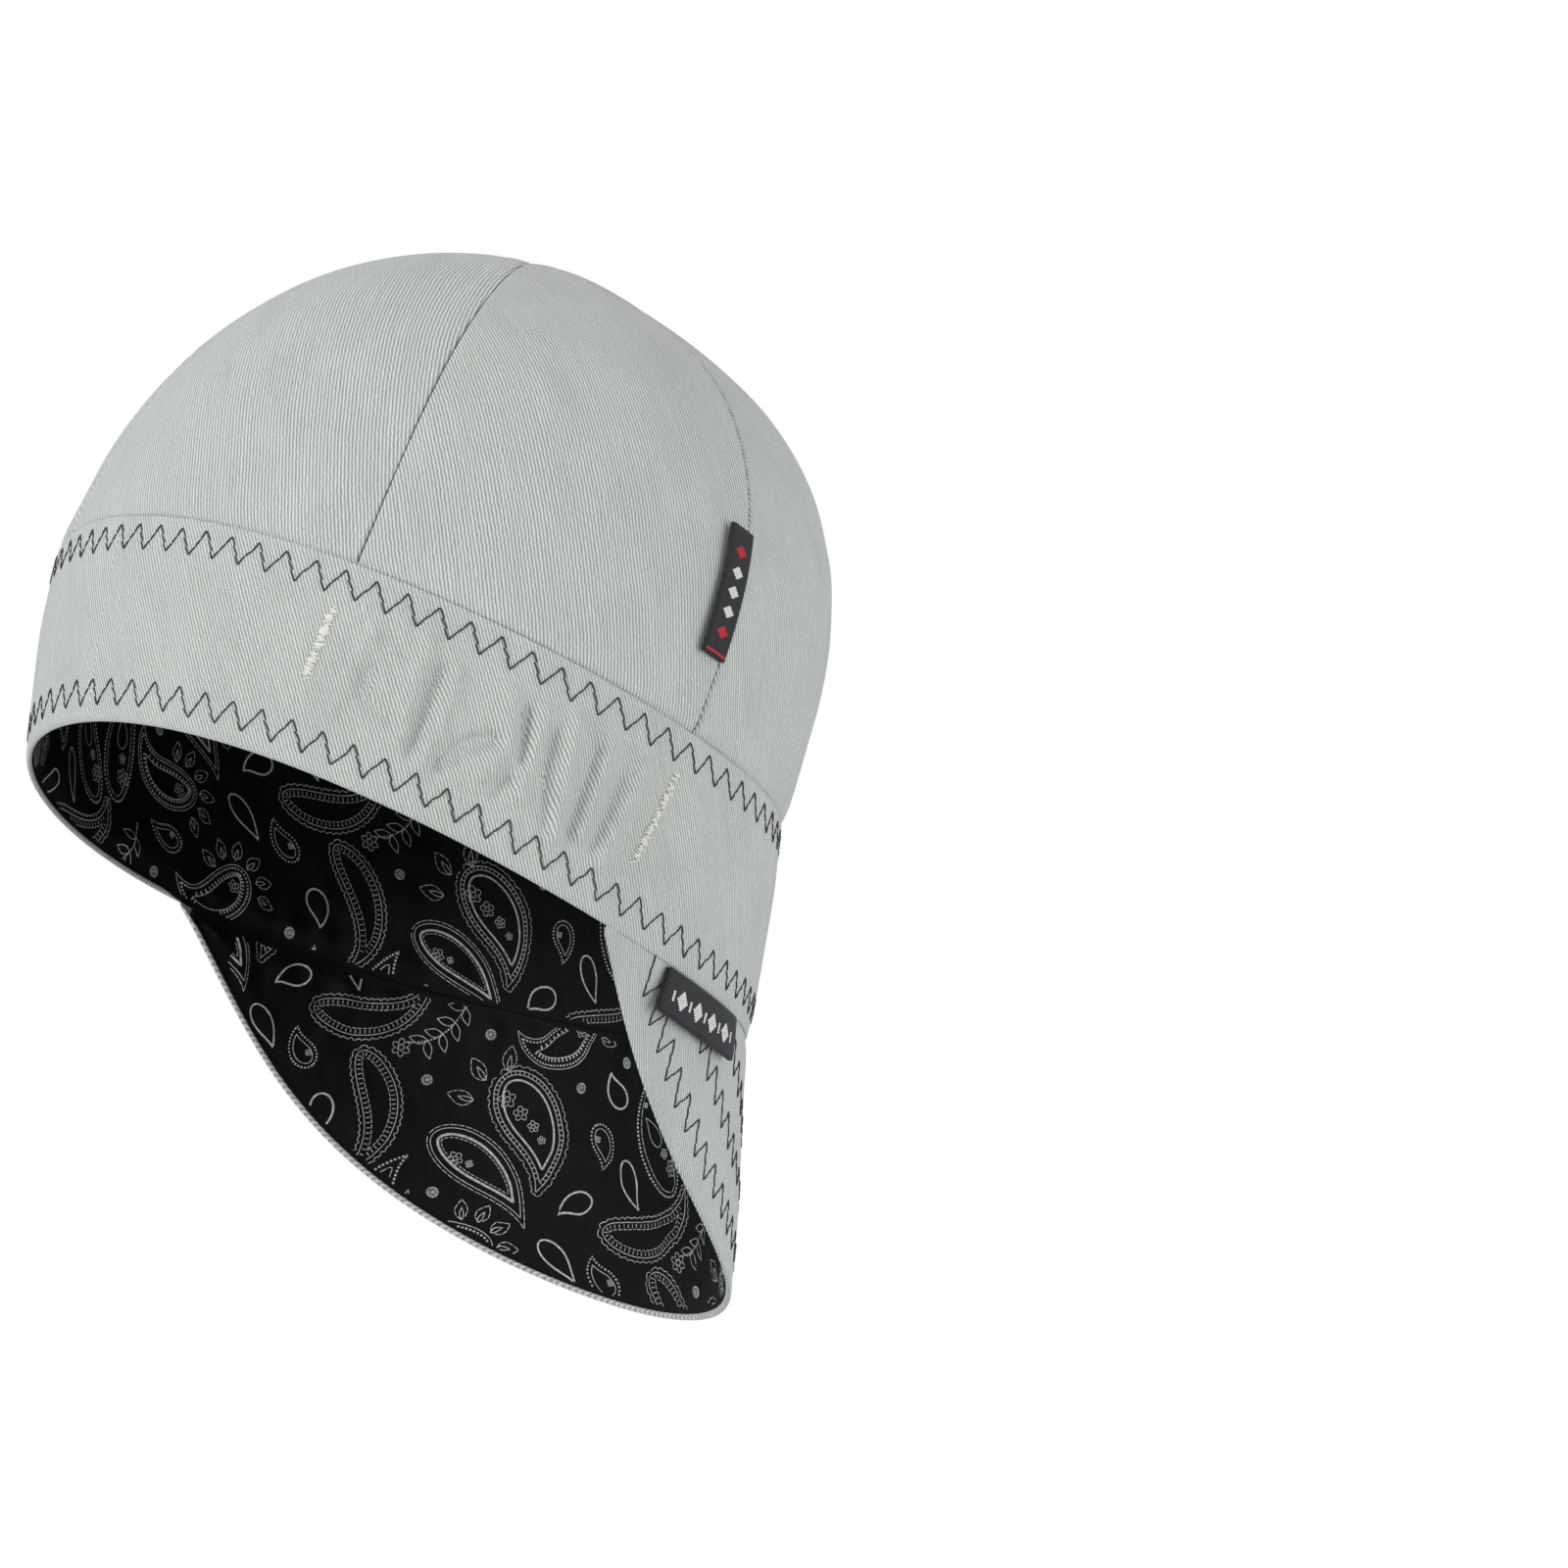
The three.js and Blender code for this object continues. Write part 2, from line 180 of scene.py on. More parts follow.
class CapCloth(PropertyGroup):
    """Thicknesses, edges and unevenness of the cloth."""

    wall: length("Cloth wall", 1.2, "Thickness of the outer cloth with its seam allowance")
    lining_wall: length("Lining wall", 1, "Thickness of the lining")
    lining_gap: length("Lining gap", 0.3, "Space between the outer cloth and the lining")
    hem: length("Hem", 1.1, "How far the outer cloth is turned in over the lining")
    pressed: share("Pressed edge", 0.6, "Share of its thickness to which the free edge is pressed")
    pressed_reach: length("Pressed reach", 9, "Distance from that edge at which the thickness is whole again")
    roll: length("Edge roll", 1.1, "Radius over which a sewn edge turns in")
    narrow: length("Narrow cloth", 7, "Width below which the turned edges of band and bill shrink with it")
    seam_gap: length("Seam gap", 0.2, "Width of the dark line between two sewn panels")
    bill_reach: length("Bill reach", 0.5, "How far the bill's sewn edge reaches up towards the band")
    lining_reach: length("Lining reach", 0.4, "How far a lining reaches past the seam between band and bill")
    hem_gap: length("Hem gap", 0.1, "Gap between a lining and the hem that is turned in over it")
    panel_step: length("Panel mesh step", 1.8, "Distance between mesh points on the crown")
    band_step: length("Band mesh step", 1.5, "Distance between mesh points on the band and bill")
    lining_step: length("Lining mesh step", 2.1, "Distance between mesh points on the crown's lining")
    band_fineness: share("Band fineness", 1.5, "Rows of points on the band's face to each mesh step")
    band_row_step: length("Band lining rows", 1.3, "Distance between rows of points on the band's lining")
    bill_row_step: length("Bill lining rows", 1.25, "Distance between rows of points on the bill's lining")
    puff: length("Puff", 0.8, "How far the crown swells out over the band's seam")
    puff_height: length("Puff height", 5, "Height over the band's seam at which it swells most")
    undulation: length("Undulation", 0.5, "Height of the broad unevenness of the outer cloth")
    dimple: length("Dimple", 0.12, "Height of the small unevenness of the outer cloth")
    lining_crease: length("Lining crease", 1.3, "Height of the lining's creases")
    pleat: length("Lining pleat", 1.9, "Height of the short pleats along the seam of the bill's lining")
    pleat_pitch: length("Pleat pitch", 12, "Distance between those pleats")
    pleat_reach: length("Pleat reach", 11, "Distance from the seam over which they fade")
    allowance: length("Seam allowance", 7, "Width of the turned-in edge that shows as a low ridge")
    allowance_rise: length("Allowance rise", 0.16, "Height of that ridge")
    pucker: length("Pucker", 0.14, "Height of the puckers that the thread draws along a seam")
    pucker_pitch: length("Pucker pitch", 6.5, "Distance between puckers")
    pucker_reach: length("Pucker reach", 3.5, "Distance from the seam over which they fade")


class CapStitches(PropertyGroup):
    """The zigzag rows and the rows at the elastic's ends."""

    pitch: length("Zigzag pitch", 8.1, "Length of one zigzag along its row")
    height: length("Zigzag height", 6.6, "Distance across the row from a point to the next")
    fall: share("Zigzag fall", 0.44, "Share of the pitch that the falling leg takes")
    kink: length("Kink", 0.22, "How far the needle points inside a rising leg lie off its line")
    jog: length("Jog", 0.3, "How far each stitch of a falling leg starts before its line and ends past it")
    top_row: length("Top row", 5.6, "Distance from the band's top to the middle of its upper row")
    low_row: length("Low row", 6.9, "Distance from the rim to the middle of the lower row")
    bill_first: length("First bill row", 9, "Distance from the bill's edge to its outermost row")
    bill_spacing: length("Bill row spacing", 14, "Distance between the rows on the bill")
    thread: length("Thread", 0.4, "Diameter of the dark thread")
    light_thread: length("Light thread", 0.34, "Diameter of the light thread at the elastic's ends")
    trough: length("Trough", 0.2, "How deep the thread draws the cloth in")
    trough_width: length("Trough width", 1.5, "Half width of that trough")
    stray: length("Stray", 0.12, "How far a needle point lies off its place, as a standard deviation")
    end_count: IntProperty(name="End stitches", description="In each layer of an elastic's end", default=60)
    end_swing: length("End swing", 1.3, "Half width of the rows at the elastic's ends")
    end_scatter: share("End scatter", 0.2, "Share of such a row over which each stitch is scattered")
    end_missing: share("End missing", 0.2, "Share of those stitches that are missing")
    seed: IntProperty(name="Seed", description="Start of the stitches' unevenness", default=7)


class CapTabs(PropertyGroup):
    """The two folded ribbons and the marks woven into them. The side tab stands closer to its panel than in
    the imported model."""

    wall: length("Ribbon wall", 0.5, "Thickness of the ribbon")
    fold_gap: length("Fold gap", 0.4, "Space between the two layers of a folded tab")
    side_length: length("Side tab length", 33, "Its length along the seam")
    side_width: length("Side tab width", 9, "From the seam to the fold")
    side_rise: length("Side tab rise", 19, "Height of its lower end over the band")
    side_lift: turn("Side tab lift", 9, "How far it stands off the panel")
    bill_start: turn("Bill tab start", -78, "Where it starts, from the front to the wearer's left")
    bill_end: turn("Bill tab end", -56, "Where it ends, from the front to the wearer's left")
    bill_drop: length("Bill tab drop", 11.5, "From the band to its fold")
    bill_lift: turn("Bill tab lift", 9, "How far it stands off the bill")
    bow: length("Bow", 0.5, "How far the ribbon bends back towards its fold")
    yarn: length("Mark yarn", 0.55, "Distance between the yarns of a woven mark")
    side_mark_height: length("Side mark height", 4.4, "Size of a lozenge across the side tab")
    side_mark_width: length("Side mark width", 3.4, "Size of a lozenge along the side tab")
    end_bar_place: length("End bar place", 0.9, "From the side tab's lower end to the middle of its bar")
    end_bar_width: length("End bar width", 0.7, "Size of that bar along the tab")
    bill_mark_height: length("Bill mark height", 5.4, "Size of a lozenge across the bill tab")
    bill_mark_width: length("Bill mark width", 4.6, "Size of a lozenge along the bill tab")
    bar_height: length("Bar height", 3.2, "Size of a bar across the bill tab")
    bar_width: length("Bar width", 0.8, "Size of a bar along the bill tab")


class CapPrint(PropertyGroup):
    """The lining's traditional drop and leaf print, which repeats as a half drop."""

    tile_width: length("Tile width", 92, "Width of the repeat")
    tile_height: length("Tile height", 84, "Height of the repeat")
    fine_line: length("Fine line", 0.21, "Width of the fine lines")
    bold_line: length("Bold line", 0.56, "Width of the bold lines")
    ink: length("Ink", 0.14, "Height of the print over the lining")
    edge: length("Edge", 1.2, "Distance from a seam at which the print stops")
    cell: length("Cell", 0.6, "Size of the cells with which the motifs are laid out")
    nestle: length("Nestle", 2.1, "Distance past its clearance within which a motif feels for others")
    trials: IntProperty(name="Trials", description="Places tried for each motif", default=900)
    seed: IntProperty(name="Seed", description="Start of the draws for the motifs' places", default=11)


class CapColours(PropertyGroup):
    """Colours read off the cloth, thread and ribbon."""

    # The twill's rib and groove colours are a painted highlight on the ribs and painted shade between them.
    rib: colour("Twill rib", "#D8DBD8", "Top of the twill's ribs")
    groove: colour("Twill groove", "#858A88", "Bottom between the ribs")
    lining: colour("Lining", "#050607", "Ground of the printed lining")
    print_ink: colour("Print", "#C8CCCB", "Lines of the print")
    thread: colour("Thread", "#2B2E2E", "Stitching")
    light_thread: colour("Light thread", "#E9E8E1", "Rows at the elastic's ends")
    ribbon: colour("Ribbon", "#171A1E", "Ground of the woven tabs")
    ribbon_white: colour("Ribbon white", "#E6E8E8", "Light woven marks")
    ribbon_red: colour("Ribbon red", "#C8202F", "Red woven marks")
    floor: colour("Floor", "#ECECEA", "Floor under the cap")


class CapStage(PropertyGroup):
    """Camera, floor and lights."""

    azimuth: turn("Azimuth", 127.1, "Camera's place, from the front to the wearer's right")
    elevation: turn("Elevation", -15.67, "Camera's height over the rim, as an angle")
    roll: turn("Roll", -20.36, "How far the camera is turned about its view")
    distance: length("Distance", 1100, "From the middle of the head opening to the camera")
    focal_length: FloatProperty(
        name="Focal length", description="Of the lens, on the sensor's width", default=98.01, unit="CAMERA"
    )
    sensor: FloatProperty(name="Sensor", description="Width of the sensor", default=36, unit="CAMERA")
    picture: IntProperty(name="Picture", description="Width of the picture in pixels", default=1600)
    middle_x: share("Middle across", 395.57, "Pixel column of the middle of the head opening")
    middle_y: share("Middle down", 921.36, "Pixel row of the middle of the head opening")
    floor_drop: length("Floor drop", 250, "From the cap's lowest point down to the floor")
    floor_size: length("Floor size", 8000, "Width of the floor")
    sky: share("Sky", 0.62, "Strength of the white surroundings that light the cap")


# Creases of the gathered stretch, each a bent ridge or, below zero, a bent valley: the angle and the share
# of the band's height at its upper end, middle and lower end, and its half width and height in millimetres
CREASES = (
    (-133.0, 0.76, -135.0, 0.56, -136.5, 0.32, 1.8, 1.3),
    (-125.5, 0.78, -126.5, 0.60, -127.0, 0.32, 2.4, 1.8),
    (-121.0, 0.70, -121.5, 0.52, -123.5, 0.24, 2.1, 1.8),
    (-113.0, 0.72, -112.0, 0.52, -115.0, 0.32, 2.8, 1.8),
    (-107.5, 0.72, -108.5, 0.54, -109.0, 0.32, 2.2, 1.8),
    (-103.0, 0.76, -103.0, 0.52, -103.0, 0.24, 2.0, 2.0),
    (-97.0, 0.74, -98.0, 0.56, -99.0, 0.30, 2.2, 1.6),
    (-91.0, 0.72, -92.5, 0.52, -95.0, 0.24, 2.0, 1.6),
    (-132.5, 0.56, -133.0, 0.44, -128.5, 0.36, 2.1, -1.4),
    (-131.5, 0.72, -130.0, 0.72, -128.0, 0.68, 1.7, -1.1),
    (-123.0, 0.68, -124.0, 0.50, -125.0, 0.28, 2.1, -1.6),
    (-114.0, 0.50, -117.5, 0.42, -121.0, 0.28, 1.7, -2.5),
    (-110.5, 0.68, -110.0, 0.60, -109.5, 0.48, 1.5, -2.2),
    (-111.0, 0.36, -112.0, 0.32, -112.5, 0.28, 1.9, -1.4),
    (-106.0, 0.64, -106.0, 0.48, -104.0, 0.24, 1.7, -1.4),
    (-99.0, 0.68, -99.5, 0.50, -100.5, 0.28, 1.9, -1.4),
    (-94.5, 0.60, -95.5, 0.44, -96.5, 0.28, 1.9, -1.1),
)

# Rows of dense light stitches that hold the elastic's ends: angle in degrees and share of the band's height
# at the row's top and foot
ELASTIC_ENDS = np.array(
    [(-139.3, 0.80, -141.8, 0.37), (-84.4, 0.81, -89.7, 0.28)],
    dtype=[(column, float) for column in ("top_angle", "top_up", "low_angle", "low_up")],
)

# Angles between which the band's mesh is finer, in degrees
ELASTIC_SPAN = (-144, -80)

# Places of the woven marks' middles: in millimetres along the side tab, and as shares along the bill tab
SIDE_WHITE_LOZENGES = (11.5, 16.5, 21.5)
SIDE_RED_LOZENGES = (6.2, 26.8)
BILL_LOZENGES = (0.2, 0.4, 0.6, 0.8)
BILL_BARS = (0.1, 0.3, 0.5, 0.7, 0.9)


# Surfaces

def level(shape, angle):
    """Level outward direction of the rim's oval: the sine and cosine of the angle times the half sizes,
    made unit."""
    x = shape.rim_half_length * np.sin(angle)
    y = -shape.rim_half_width * np.cos(angle)
    size = np.hypot(x, y)
    return np.stack([x / size, y / size, 0 * x], -1)


def rim_point(shape, angle):
    """The rim: an oval whose height is a cosine with two waves to the turn."""
    rise = shape.rim_wave * np.cos(2 * (angle - shape.rim_wave_turn))
    return np.stack([shape.rim_half_width * np.sin(angle), -shape.rim_half_length * np.cos(angle), rise], -1)


def band_top(shape, angle):
    """The band's top: a wider oval, set back, whose height is a cosine with two waves to the turn."""
    x = (shape.rim_half_width + shape.band_flare) * np.sin(angle)
    y = shape.band_setback - (shape.rim_half_length - shape.band_taper) * np.cos(angle)
    return np.stack([x, y, shape.band_height + shape.band_top_wave * np.cos(2 * angle)], -1)


def band_slant(shape, angle):
    """Distance up the band from the rim to its top."""
    return np.linalg.norm(band_top(shape, angle) - rim_point(shape, angle), axis=-1)


def band_point(shape, angle, up, depth):
    """A straight line from rim to top, swelled outwards by a parabola of up, less the depth behind the
    face."""
    angle, up, depth = np.broadcast_arrays(angle, up, depth)
    line = rim_point(shape, angle) * (1 - up)[..., None] + band_top(shape, angle) * up[..., None]
    return line + (shape.band_bulge * 4 * up * (1 - up) - depth)[..., None] * level(shape, angle)


def crown_powers(shape, angle):
    """Powers of the crown's profile, and the turn at which its panels end."""
    side = shape.crown_side - shape.crown_side_change * np.cos(angle)
    top = shape.crown_top - shape.crown_top_change * np.cos(angle)
    return side, top, np.arccos(shape.crown_tip_share ** (1 / side))


def crown_face(shape, angle, along):
    """Level place runs from the band to the tip by a power of the cosine of one turn, and height by a power
    of its sine. The turn grows with the share along, from 0 to nearly a right angle."""
    angle, along = np.broadcast_arrays(angle, along)
    side, top, tip_turn = crown_powers(shape, angle)
    bend = tip_turn * along
    base = band_top(shape, angle) - shape.crown_inset * level(shape, angle)
    inward = 1 - np.clip(np.cos(bend), 0, 1) ** side
    rise = np.clip(np.sin(bend), 0, 1) ** top
    tip = np.array([0, shape.band_setback + shape.crown_setback, shape.band_height + shape.crown_height])
    foot = base[..., 2] - shape.seam_reach
    x = base[..., 0] * (1 - inward) + tip[0] * inward
    y = base[..., 1] * (1 - inward) + tip[1] * inward
    return np.stack([x, y, foot * (1 - rise) + tip[2] * rise], -1)


def crown_normal(shape, angle, along):
    """Outward normal of the crown's face: the cross product of two short steps, sideways and upwards."""
    sideways = crown_face(shape, angle + 0.008, along) - crown_face(shape, angle - 0.008, along)
    low, high = np.clip(along - 0.004, 0, 1), np.clip(along + 0.004, 0, 1)
    normal = np.cross(sideways, crown_face(shape, angle, high) - crown_face(shape, angle, low))
    return normal / np.linalg.norm(normal, axis=-1, keepdims=True)


def along_at_rise(shape, angle, rise):
    """How far along the crown a height above the band lies: the profile's power of the sine, turned round."""
    _, top, tip_turn = crown_powers(shape, angle)
    return np.arcsin(np.clip(rise / shape.crown_height, 0, 1) ** (1 / top)) / tip_turn


def bill_depth(shape, angle):
    """Length of the bill below the rim: the full length less a power of the share of the half angle."""
    part = np.clip(np.abs(angle / shape.bill_half_angle), 0, 1)
    return shape.bill_length * (1 - part ** shape.bill_outline)


def bill_point(shape, angle, down, depth):
    """A line down from the rim that leans outwards, less at the bill's ends and less towards its edge."""
    angle, down, depth = np.broadcast_arrays(angle, down, depth)
    part = angle / shape.bill_half_angle
    ease = down / np.maximum(bill_depth(shape, angle), MM) * (1 - part * part)
    lean = shape.bill_splay - shape.bill_splay_loss * part * part - shape.bill_curl * ease
    out = down * np.sin(lean) - shape.bill_inset - depth / np.cos(lean)
    drop = shape.clearance + down * np.cos(lean)
    return rim_point(shape, angle) + out[..., None] * level(shape, angle) - drop[..., None] * UPRIGHT


def bill_slope(shape, angle):
    """Cosine of the slope of the bill's outline against the rim, which turns lengths down into lengths
    across."""
    step = 0.01
    fall = (bill_depth(shape, angle + step) - bill_depth(shape, angle - step)) / (2 * step)
    return 1 / np.sqrt(1 + (fall / shape.rim_half_length) ** 2)


def bill_edge(shape, angle, down):
    """Distance from a point of the bill to its free edge."""
    return (bill_depth(shape, angle) - down) * bill_slope(shape, angle)


# Unevenness of the cloth

def ripple(points, size, seed, waves=9):
    """Soft unevenness from -1 to 1: a sum of level sine waves in seeded directions, about one size long."""
    random = np.random.default_rng(seed)
    direction = random.normal(size=(waves, 3))
    direction /= np.linalg.norm(direction, axis=1, keepdims=True)
    rate = 2 * np.pi / (size * random.uniform(0.7, 1.5, waves))
    phase = random.uniform(0, 2 * np.pi, waves)
    return np.sin(points @ (direction * rate[:, None]).T + phase).sum(-1) / np.sqrt(waves * 2)


def outer_ripples(cloth, points, ripples, part):
    """Unevenness of the outer cloth: a part of the broad ripples' height, and the small ones'."""
    broad, small = (ripple(points, size, seed) for size, seed in ripples)
    return cloth.undulation * part * broad + cloth.dimple * small


def smooth(value, low, high):
    """Smooth step from 0 at low to 1 at high."""
    part = np.clip((value - low) / (high - low), 0, 1)
    return part * part * (3 - 2 * part)


def run_length(points):
    """Distance along a line of points, from its first."""
    steps = np.linalg.norm(np.diff(points, axis=0), axis=1)
    return np.concatenate([[0], np.cumsum(steps)])


def segment_distance(x, y, start, end):
    """Distance from points to a straight segment: the offset from the nearest point of its line between its
    ends."""
    way = end - start
    part = np.clip(((x - start[0]) * way[0] + (y - start[1]) * way[1]) / (way @ way), 0, 1)
    return np.hypot(x - start[0] - part * way[0], y - start[1] - part * way[1])


def crease_height(shape, angle, up):
    """Sum of the creases over the elastic, each a bell of the distance to its bent line, on the band laid
    flat."""
    scale = np.array([np.radians(1) * shape.rim_half_width, shape.band_height])
    x, y = np.degrees(angle) * scale[0], up * scale[1]
    height = 0 * (x + y)
    for crease in CREASES:
        upper, middle, lower = np.array(crease[:6]).reshape(3, 2) * scale
        distance = np.minimum(segment_distance(x, y, upper, middle), segment_distance(x, y, middle, lower))
        height = height + crease[7] * MM * np.exp(-(distance / (crease[6] * MM)) ** 2)
    return height


def zigzag(stitches, run, pitch):
    """Height of the zigzag at a distance along its row: it falls for the fall's share of the pitch, then
    rises."""
    phase = (run / pitch) % 1
    fall = 0.5 - phase / stitches.fall
    rise = -0.5 + (phase - stitches.fall) / (1 - stitches.fall)
    return stitches.height * np.where(phase < stitches.fall, fall, rise)


def trough(stitches, run, across, pitch):
    """How far the thread draws the cloth in beside a zigzag: a bell of the distance to the zigzag's line."""
    distance = (across - zigzag(stitches, run, pitch)) * pitch / np.hypot(pitch, 2 * stitches.height)
    return -stitches.trough * np.exp(-(distance / stitches.trough_width) ** 2)


class Row:
    """A row of zigzags: its angles, the distance along it at each, and a pitch that divides its length."""

    def __init__(self, stitches, angles, points, from_foot):
        self.angles = angles
        self.run = run_length(points)
        self.from_foot = from_foot
        self.count = int(round(self.run[-1] / stitches.pitch))
        self.pitch = self.run[-1] / self.count


def band_rows(shape, stitches):
    """The two rows around the band, one a set distance below its top and one a set distance above the rim."""
    angles = np.linspace(-np.pi, np.pi, ROUND_SAMPLES)
    slant = band_slant(shape, angles)
    rows = []
    for height in (slant - stitches.top_row, 0 * slant + stitches.low_row):
        rows.append(Row(stitches, angles, band_point(shape, angles, height / slant, 0.0), height))
    return rows


def bill_rows(shape, stitches):
    """Three rows that follow the bill's free edge, each as far as the bill reaches it below the rim."""
    rows = []
    for i in range(3):
        edge = stitches.bill_first + i * stitches.bill_spacing
        angles = np.linspace(-shape.bill_half_angle, shape.bill_half_angle, ROUND_SAMPLES)
        down = bill_depth(shape, angles) - edge / bill_slope(shape, angles)
        kept = down > stitches.height / 2
        angles, down = angles[kept], down[kept]
        rows.append(Row(stitches, angles, bill_point(shape, angles, down, 0.0), down))
    return rows


def band_relief(shape, cloth, stitches, angle, up):
    """Height of the band's face over its plain shape: creases, soft ripples and the zigzags' troughs."""
    angle, up = np.broadcast_arrays(angle, up)
    points = band_point(shape, angle, up, 0.0)
    height = up * band_slant(shape, angle)
    relief = crease_height(shape, angle, up) + outer_ripples(cloth, points, BAND_RIPPLES, SEWN_RIPPLES)
    for row in band_rows(shape, stitches):
        run = np.interp(angle, row.angles, row.run)
        middle = np.interp(angle, row.angles, row.from_foot)
        relief = relief + trough(stitches, run, height - middle, row.pitch)
    edge = np.minimum(height, band_slant(shape, angle) - height)
    return relief * smooth(edge, *BAND_FADE)


def bill_relief(shape, cloth, stitches, angle, down, part=SEWN_RIPPLES):
    """Height of the bill's face over its plain shape: a part of the soft ripples, and the rows' troughs."""
    angle, down = np.broadcast_arrays(angle, down)
    points = bill_point(shape, angle, down, 0.0)
    relief = outer_ripples(cloth, points, BILL_RIPPLES, part)
    for row in bill_rows(shape, stitches):
        run = np.interp(angle, row.angles, row.run)
        inside = (angle > row.angles[0]) & (angle < row.angles[-1])
        across = (np.interp(angle, row.angles, row.from_foot) - down) * bill_slope(shape, angle)
        relief = relief + inside * trough(stitches, run, across, row.pitch)
    return relief * smooth(np.minimum(bill_edge(shape, angle, down), down), *BILL_FADE)


# Mesh helpers

def make_piece(name, quads, finish, replaced=()):
    """Puts points, quads and their corners' weave coordinates into a mesh, merges what coincides and rides
    it."""
    points, faces, face_uv = quads
    mesh = bpy.data.meshes.new(name)
    mesh.vertices.add(len(points))
    mesh.vertices.foreach_set("co", np.ascontiguousarray(points, np.float32).ravel())
    mesh.loops.add(faces.size)
    mesh.loops.foreach_set("vertex_index", faces.astype(np.int32).ravel())
    mesh.polygons.add(len(faces))
    mesh.polygons.foreach_set("loop_start", np.arange(0, faces.size, 4, dtype=np.int32))
    mesh.update(calc_edges=True)
    layer = mesh.uv_layers.new(name=WEAVE_UV)
    layer.data.foreach_set("uv", np.ascontiguousarray(face_uv, np.float32).ravel())
    work = bmesh.new()
    work.from_mesh(mesh)
    bmesh.ops.remove_doubles(work, verts=work.verts, dist=0.002 * MM)
    bmesh.ops.dissolve_degenerate(work, dist=0.001 * MM, edges=work.edges)
    work.to_mesh(mesh)
    work.free()
    mesh.polygons.foreach_set("use_smooth", np.ones(len(mesh.polygons), bool))
    piece = bpy.data.objects.new(name, mesh)
    bpy.context.scene.collection.objects.link(piece)
    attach(piece, BODY)
    if replaced:
        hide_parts(*replaced)
    mesh.materials.append(material_of(finish))


def grid(points, uv, close_rows=False, close_columns=False):
    """Quads of a grid of points, in rows and columns, and their weave coordinates. The coordinates have one
    more row or column where the grid closes on itself."""
    rows, columns = points.shape[:2]
    row, column = np.meshgrid(
        np.arange(rows if close_rows else rows - 1),
        np.arange(columns if close_columns else columns - 1),
        indexing="ij",
    )
    row, column = row.ravel(), column.ravel()
    rows_of = np.stack([row, row, row + 1, row + 1], 1)
    columns_of = np.stack([column, column + 1, column + 1, column], 1)
    faces = (rows_of % rows) * columns + columns_of % columns
    return points.reshape(-1, 3), faces, uv[rows_of, columns_of]


def wrapped(values, axis):
    """Values with the first row or column repeated at the end."""
    return np.concatenate([values, np.take(values, [0], axis)], axis)


def steps_between(start, end, step):
    """Evenly spaced values from start to end, about one step apart."""
    return np.linspace(start, end, max(int(round(abs(end - start) / step)), 1) + 1)


def edged(total, step, roll):
    """Distances across a piece: cosine steps over the rolled edge at each side and even steps between."""
    edge = roll * (1 - np.cos(np.linspace(0, np.pi / 2, EDGE_SAMPLES)))
    middle = steps_between(roll, total - roll, step)
    return np.concatenate([edge, middle[1:-1], total - edge[::-1]])


def stretched(distance, base, total, roll):
    """Distances laid out for one width fitted to another, with the rolled edges kept their own size."""
    small = np.minimum(1, total / (5 * roll))
    inner = small * roll + (distance - roll) * (total - 2 * small * roll) / (base - 2 * roll)
    far = total - (base - distance) * small
    return np.where(distance <= roll, distance * small, np.where(distance >= base - roll, far, inner))


def fullness(distance, roll):
    """Rises over a rolled edge from 0 at the edge to 1, as a quarter circle."""
    part = 1 - np.clip(distance / roll, 0, 1)
    return np.sqrt(np.clip(1 - part * part, 0, 1))


def turned(u, v, degrees):
    """Weave coordinates turned on the cloth, so that the ribs run at that angle from the piece's upright."""
    a = np.radians(degrees)
    return np.stack([u * np.cos(a) - v * np.sin(a), u * np.sin(a) + v * np.cos(a)], -1)


# Crown

def panel_seams(shape):
    """Angles of the seams: the gathered panel's two, and the others evenly round the rest."""
    others = (2 * np.pi - shape.gathered_angle) / (PANEL_COUNT - 1)
    start = shape.gathered_middle - shape.gathered_angle / 2
    return np.concatenate([[start], start + shape.gathered_angle + others * np.arange(PANEL_COUNT)])


class PanelCut:
    """One panel laid flat: its middle angle, half angle, and its width and height at each share along."""

    def __init__(self, shape, start, end):
        self.middle = (start + end) / 2
        self.half = (end - start) / 2
        self.along = np.linspace(0, 1, CUT_SAMPLES)
        self.height = run_length(crown_face(shape, self.middle, self.along))
        step = 0.01
        left, right = (crown_face(shape, self.middle + side, self.along) for side in (-step, step))
        self.width = np.linalg.norm(right - left, axis=1) / (2 * step) * self.half * 2

    def place(self, across, height):
        """Angle, share along and side (-1 to 1) of a flat point, given from the panel's middle and foot."""
        along = np.interp(height, self.height, self.along)
        side = across / (np.interp(height, self.height, self.width) / 2)
        return self.middle + side * self.half, along, side


def crown_relief(cloth, points, seam, foot):
    """Height of a panel's face: broad and small ripples, the seam allowance's ridge, puckers along the
    seam, and a swell over the band that rises with the height and then falls by its exponential."""
    relief = outer_ripples(cloth, points, CROWN_RIPPLES, 1)
    ridge = cloth.allowance_rise * (1 - smooth(seam, cloth.allowance * 0.75, cloth.allowance))
    wander = ripple(points, 30 * MM, 8)
    beat = np.sin(2 * np.pi * foot / cloth.pucker_pitch + 2.2 * wander)
    part = foot / cloth.puff_height
    swell = cloth.puff * part * np.exp(1 - part)
    return relief + ridge + swell + cloth.pucker * beat * np.exp(-(seam / cloth.pucker_reach) ** 2)


def panel_grid(cut, step, roll, gap):
    """Flat points of a panel in rows upwards and columns across, with their distances to the sides and
    ends."""
    top = cut.height[-1]
    heights = edged(top, step, roll)[:, None]
    base = cut.width.max()
    width = np.interp(heights, cut.height, cut.width) - gap
    across = stretched(edged(base, step, roll)[None, :], base, width, roll) - width / 2
    side = width / 2 - np.abs(across)
    end = np.minimum(heights, top - heights) + 0 * across
    return across, heights + 0 * across, side, end


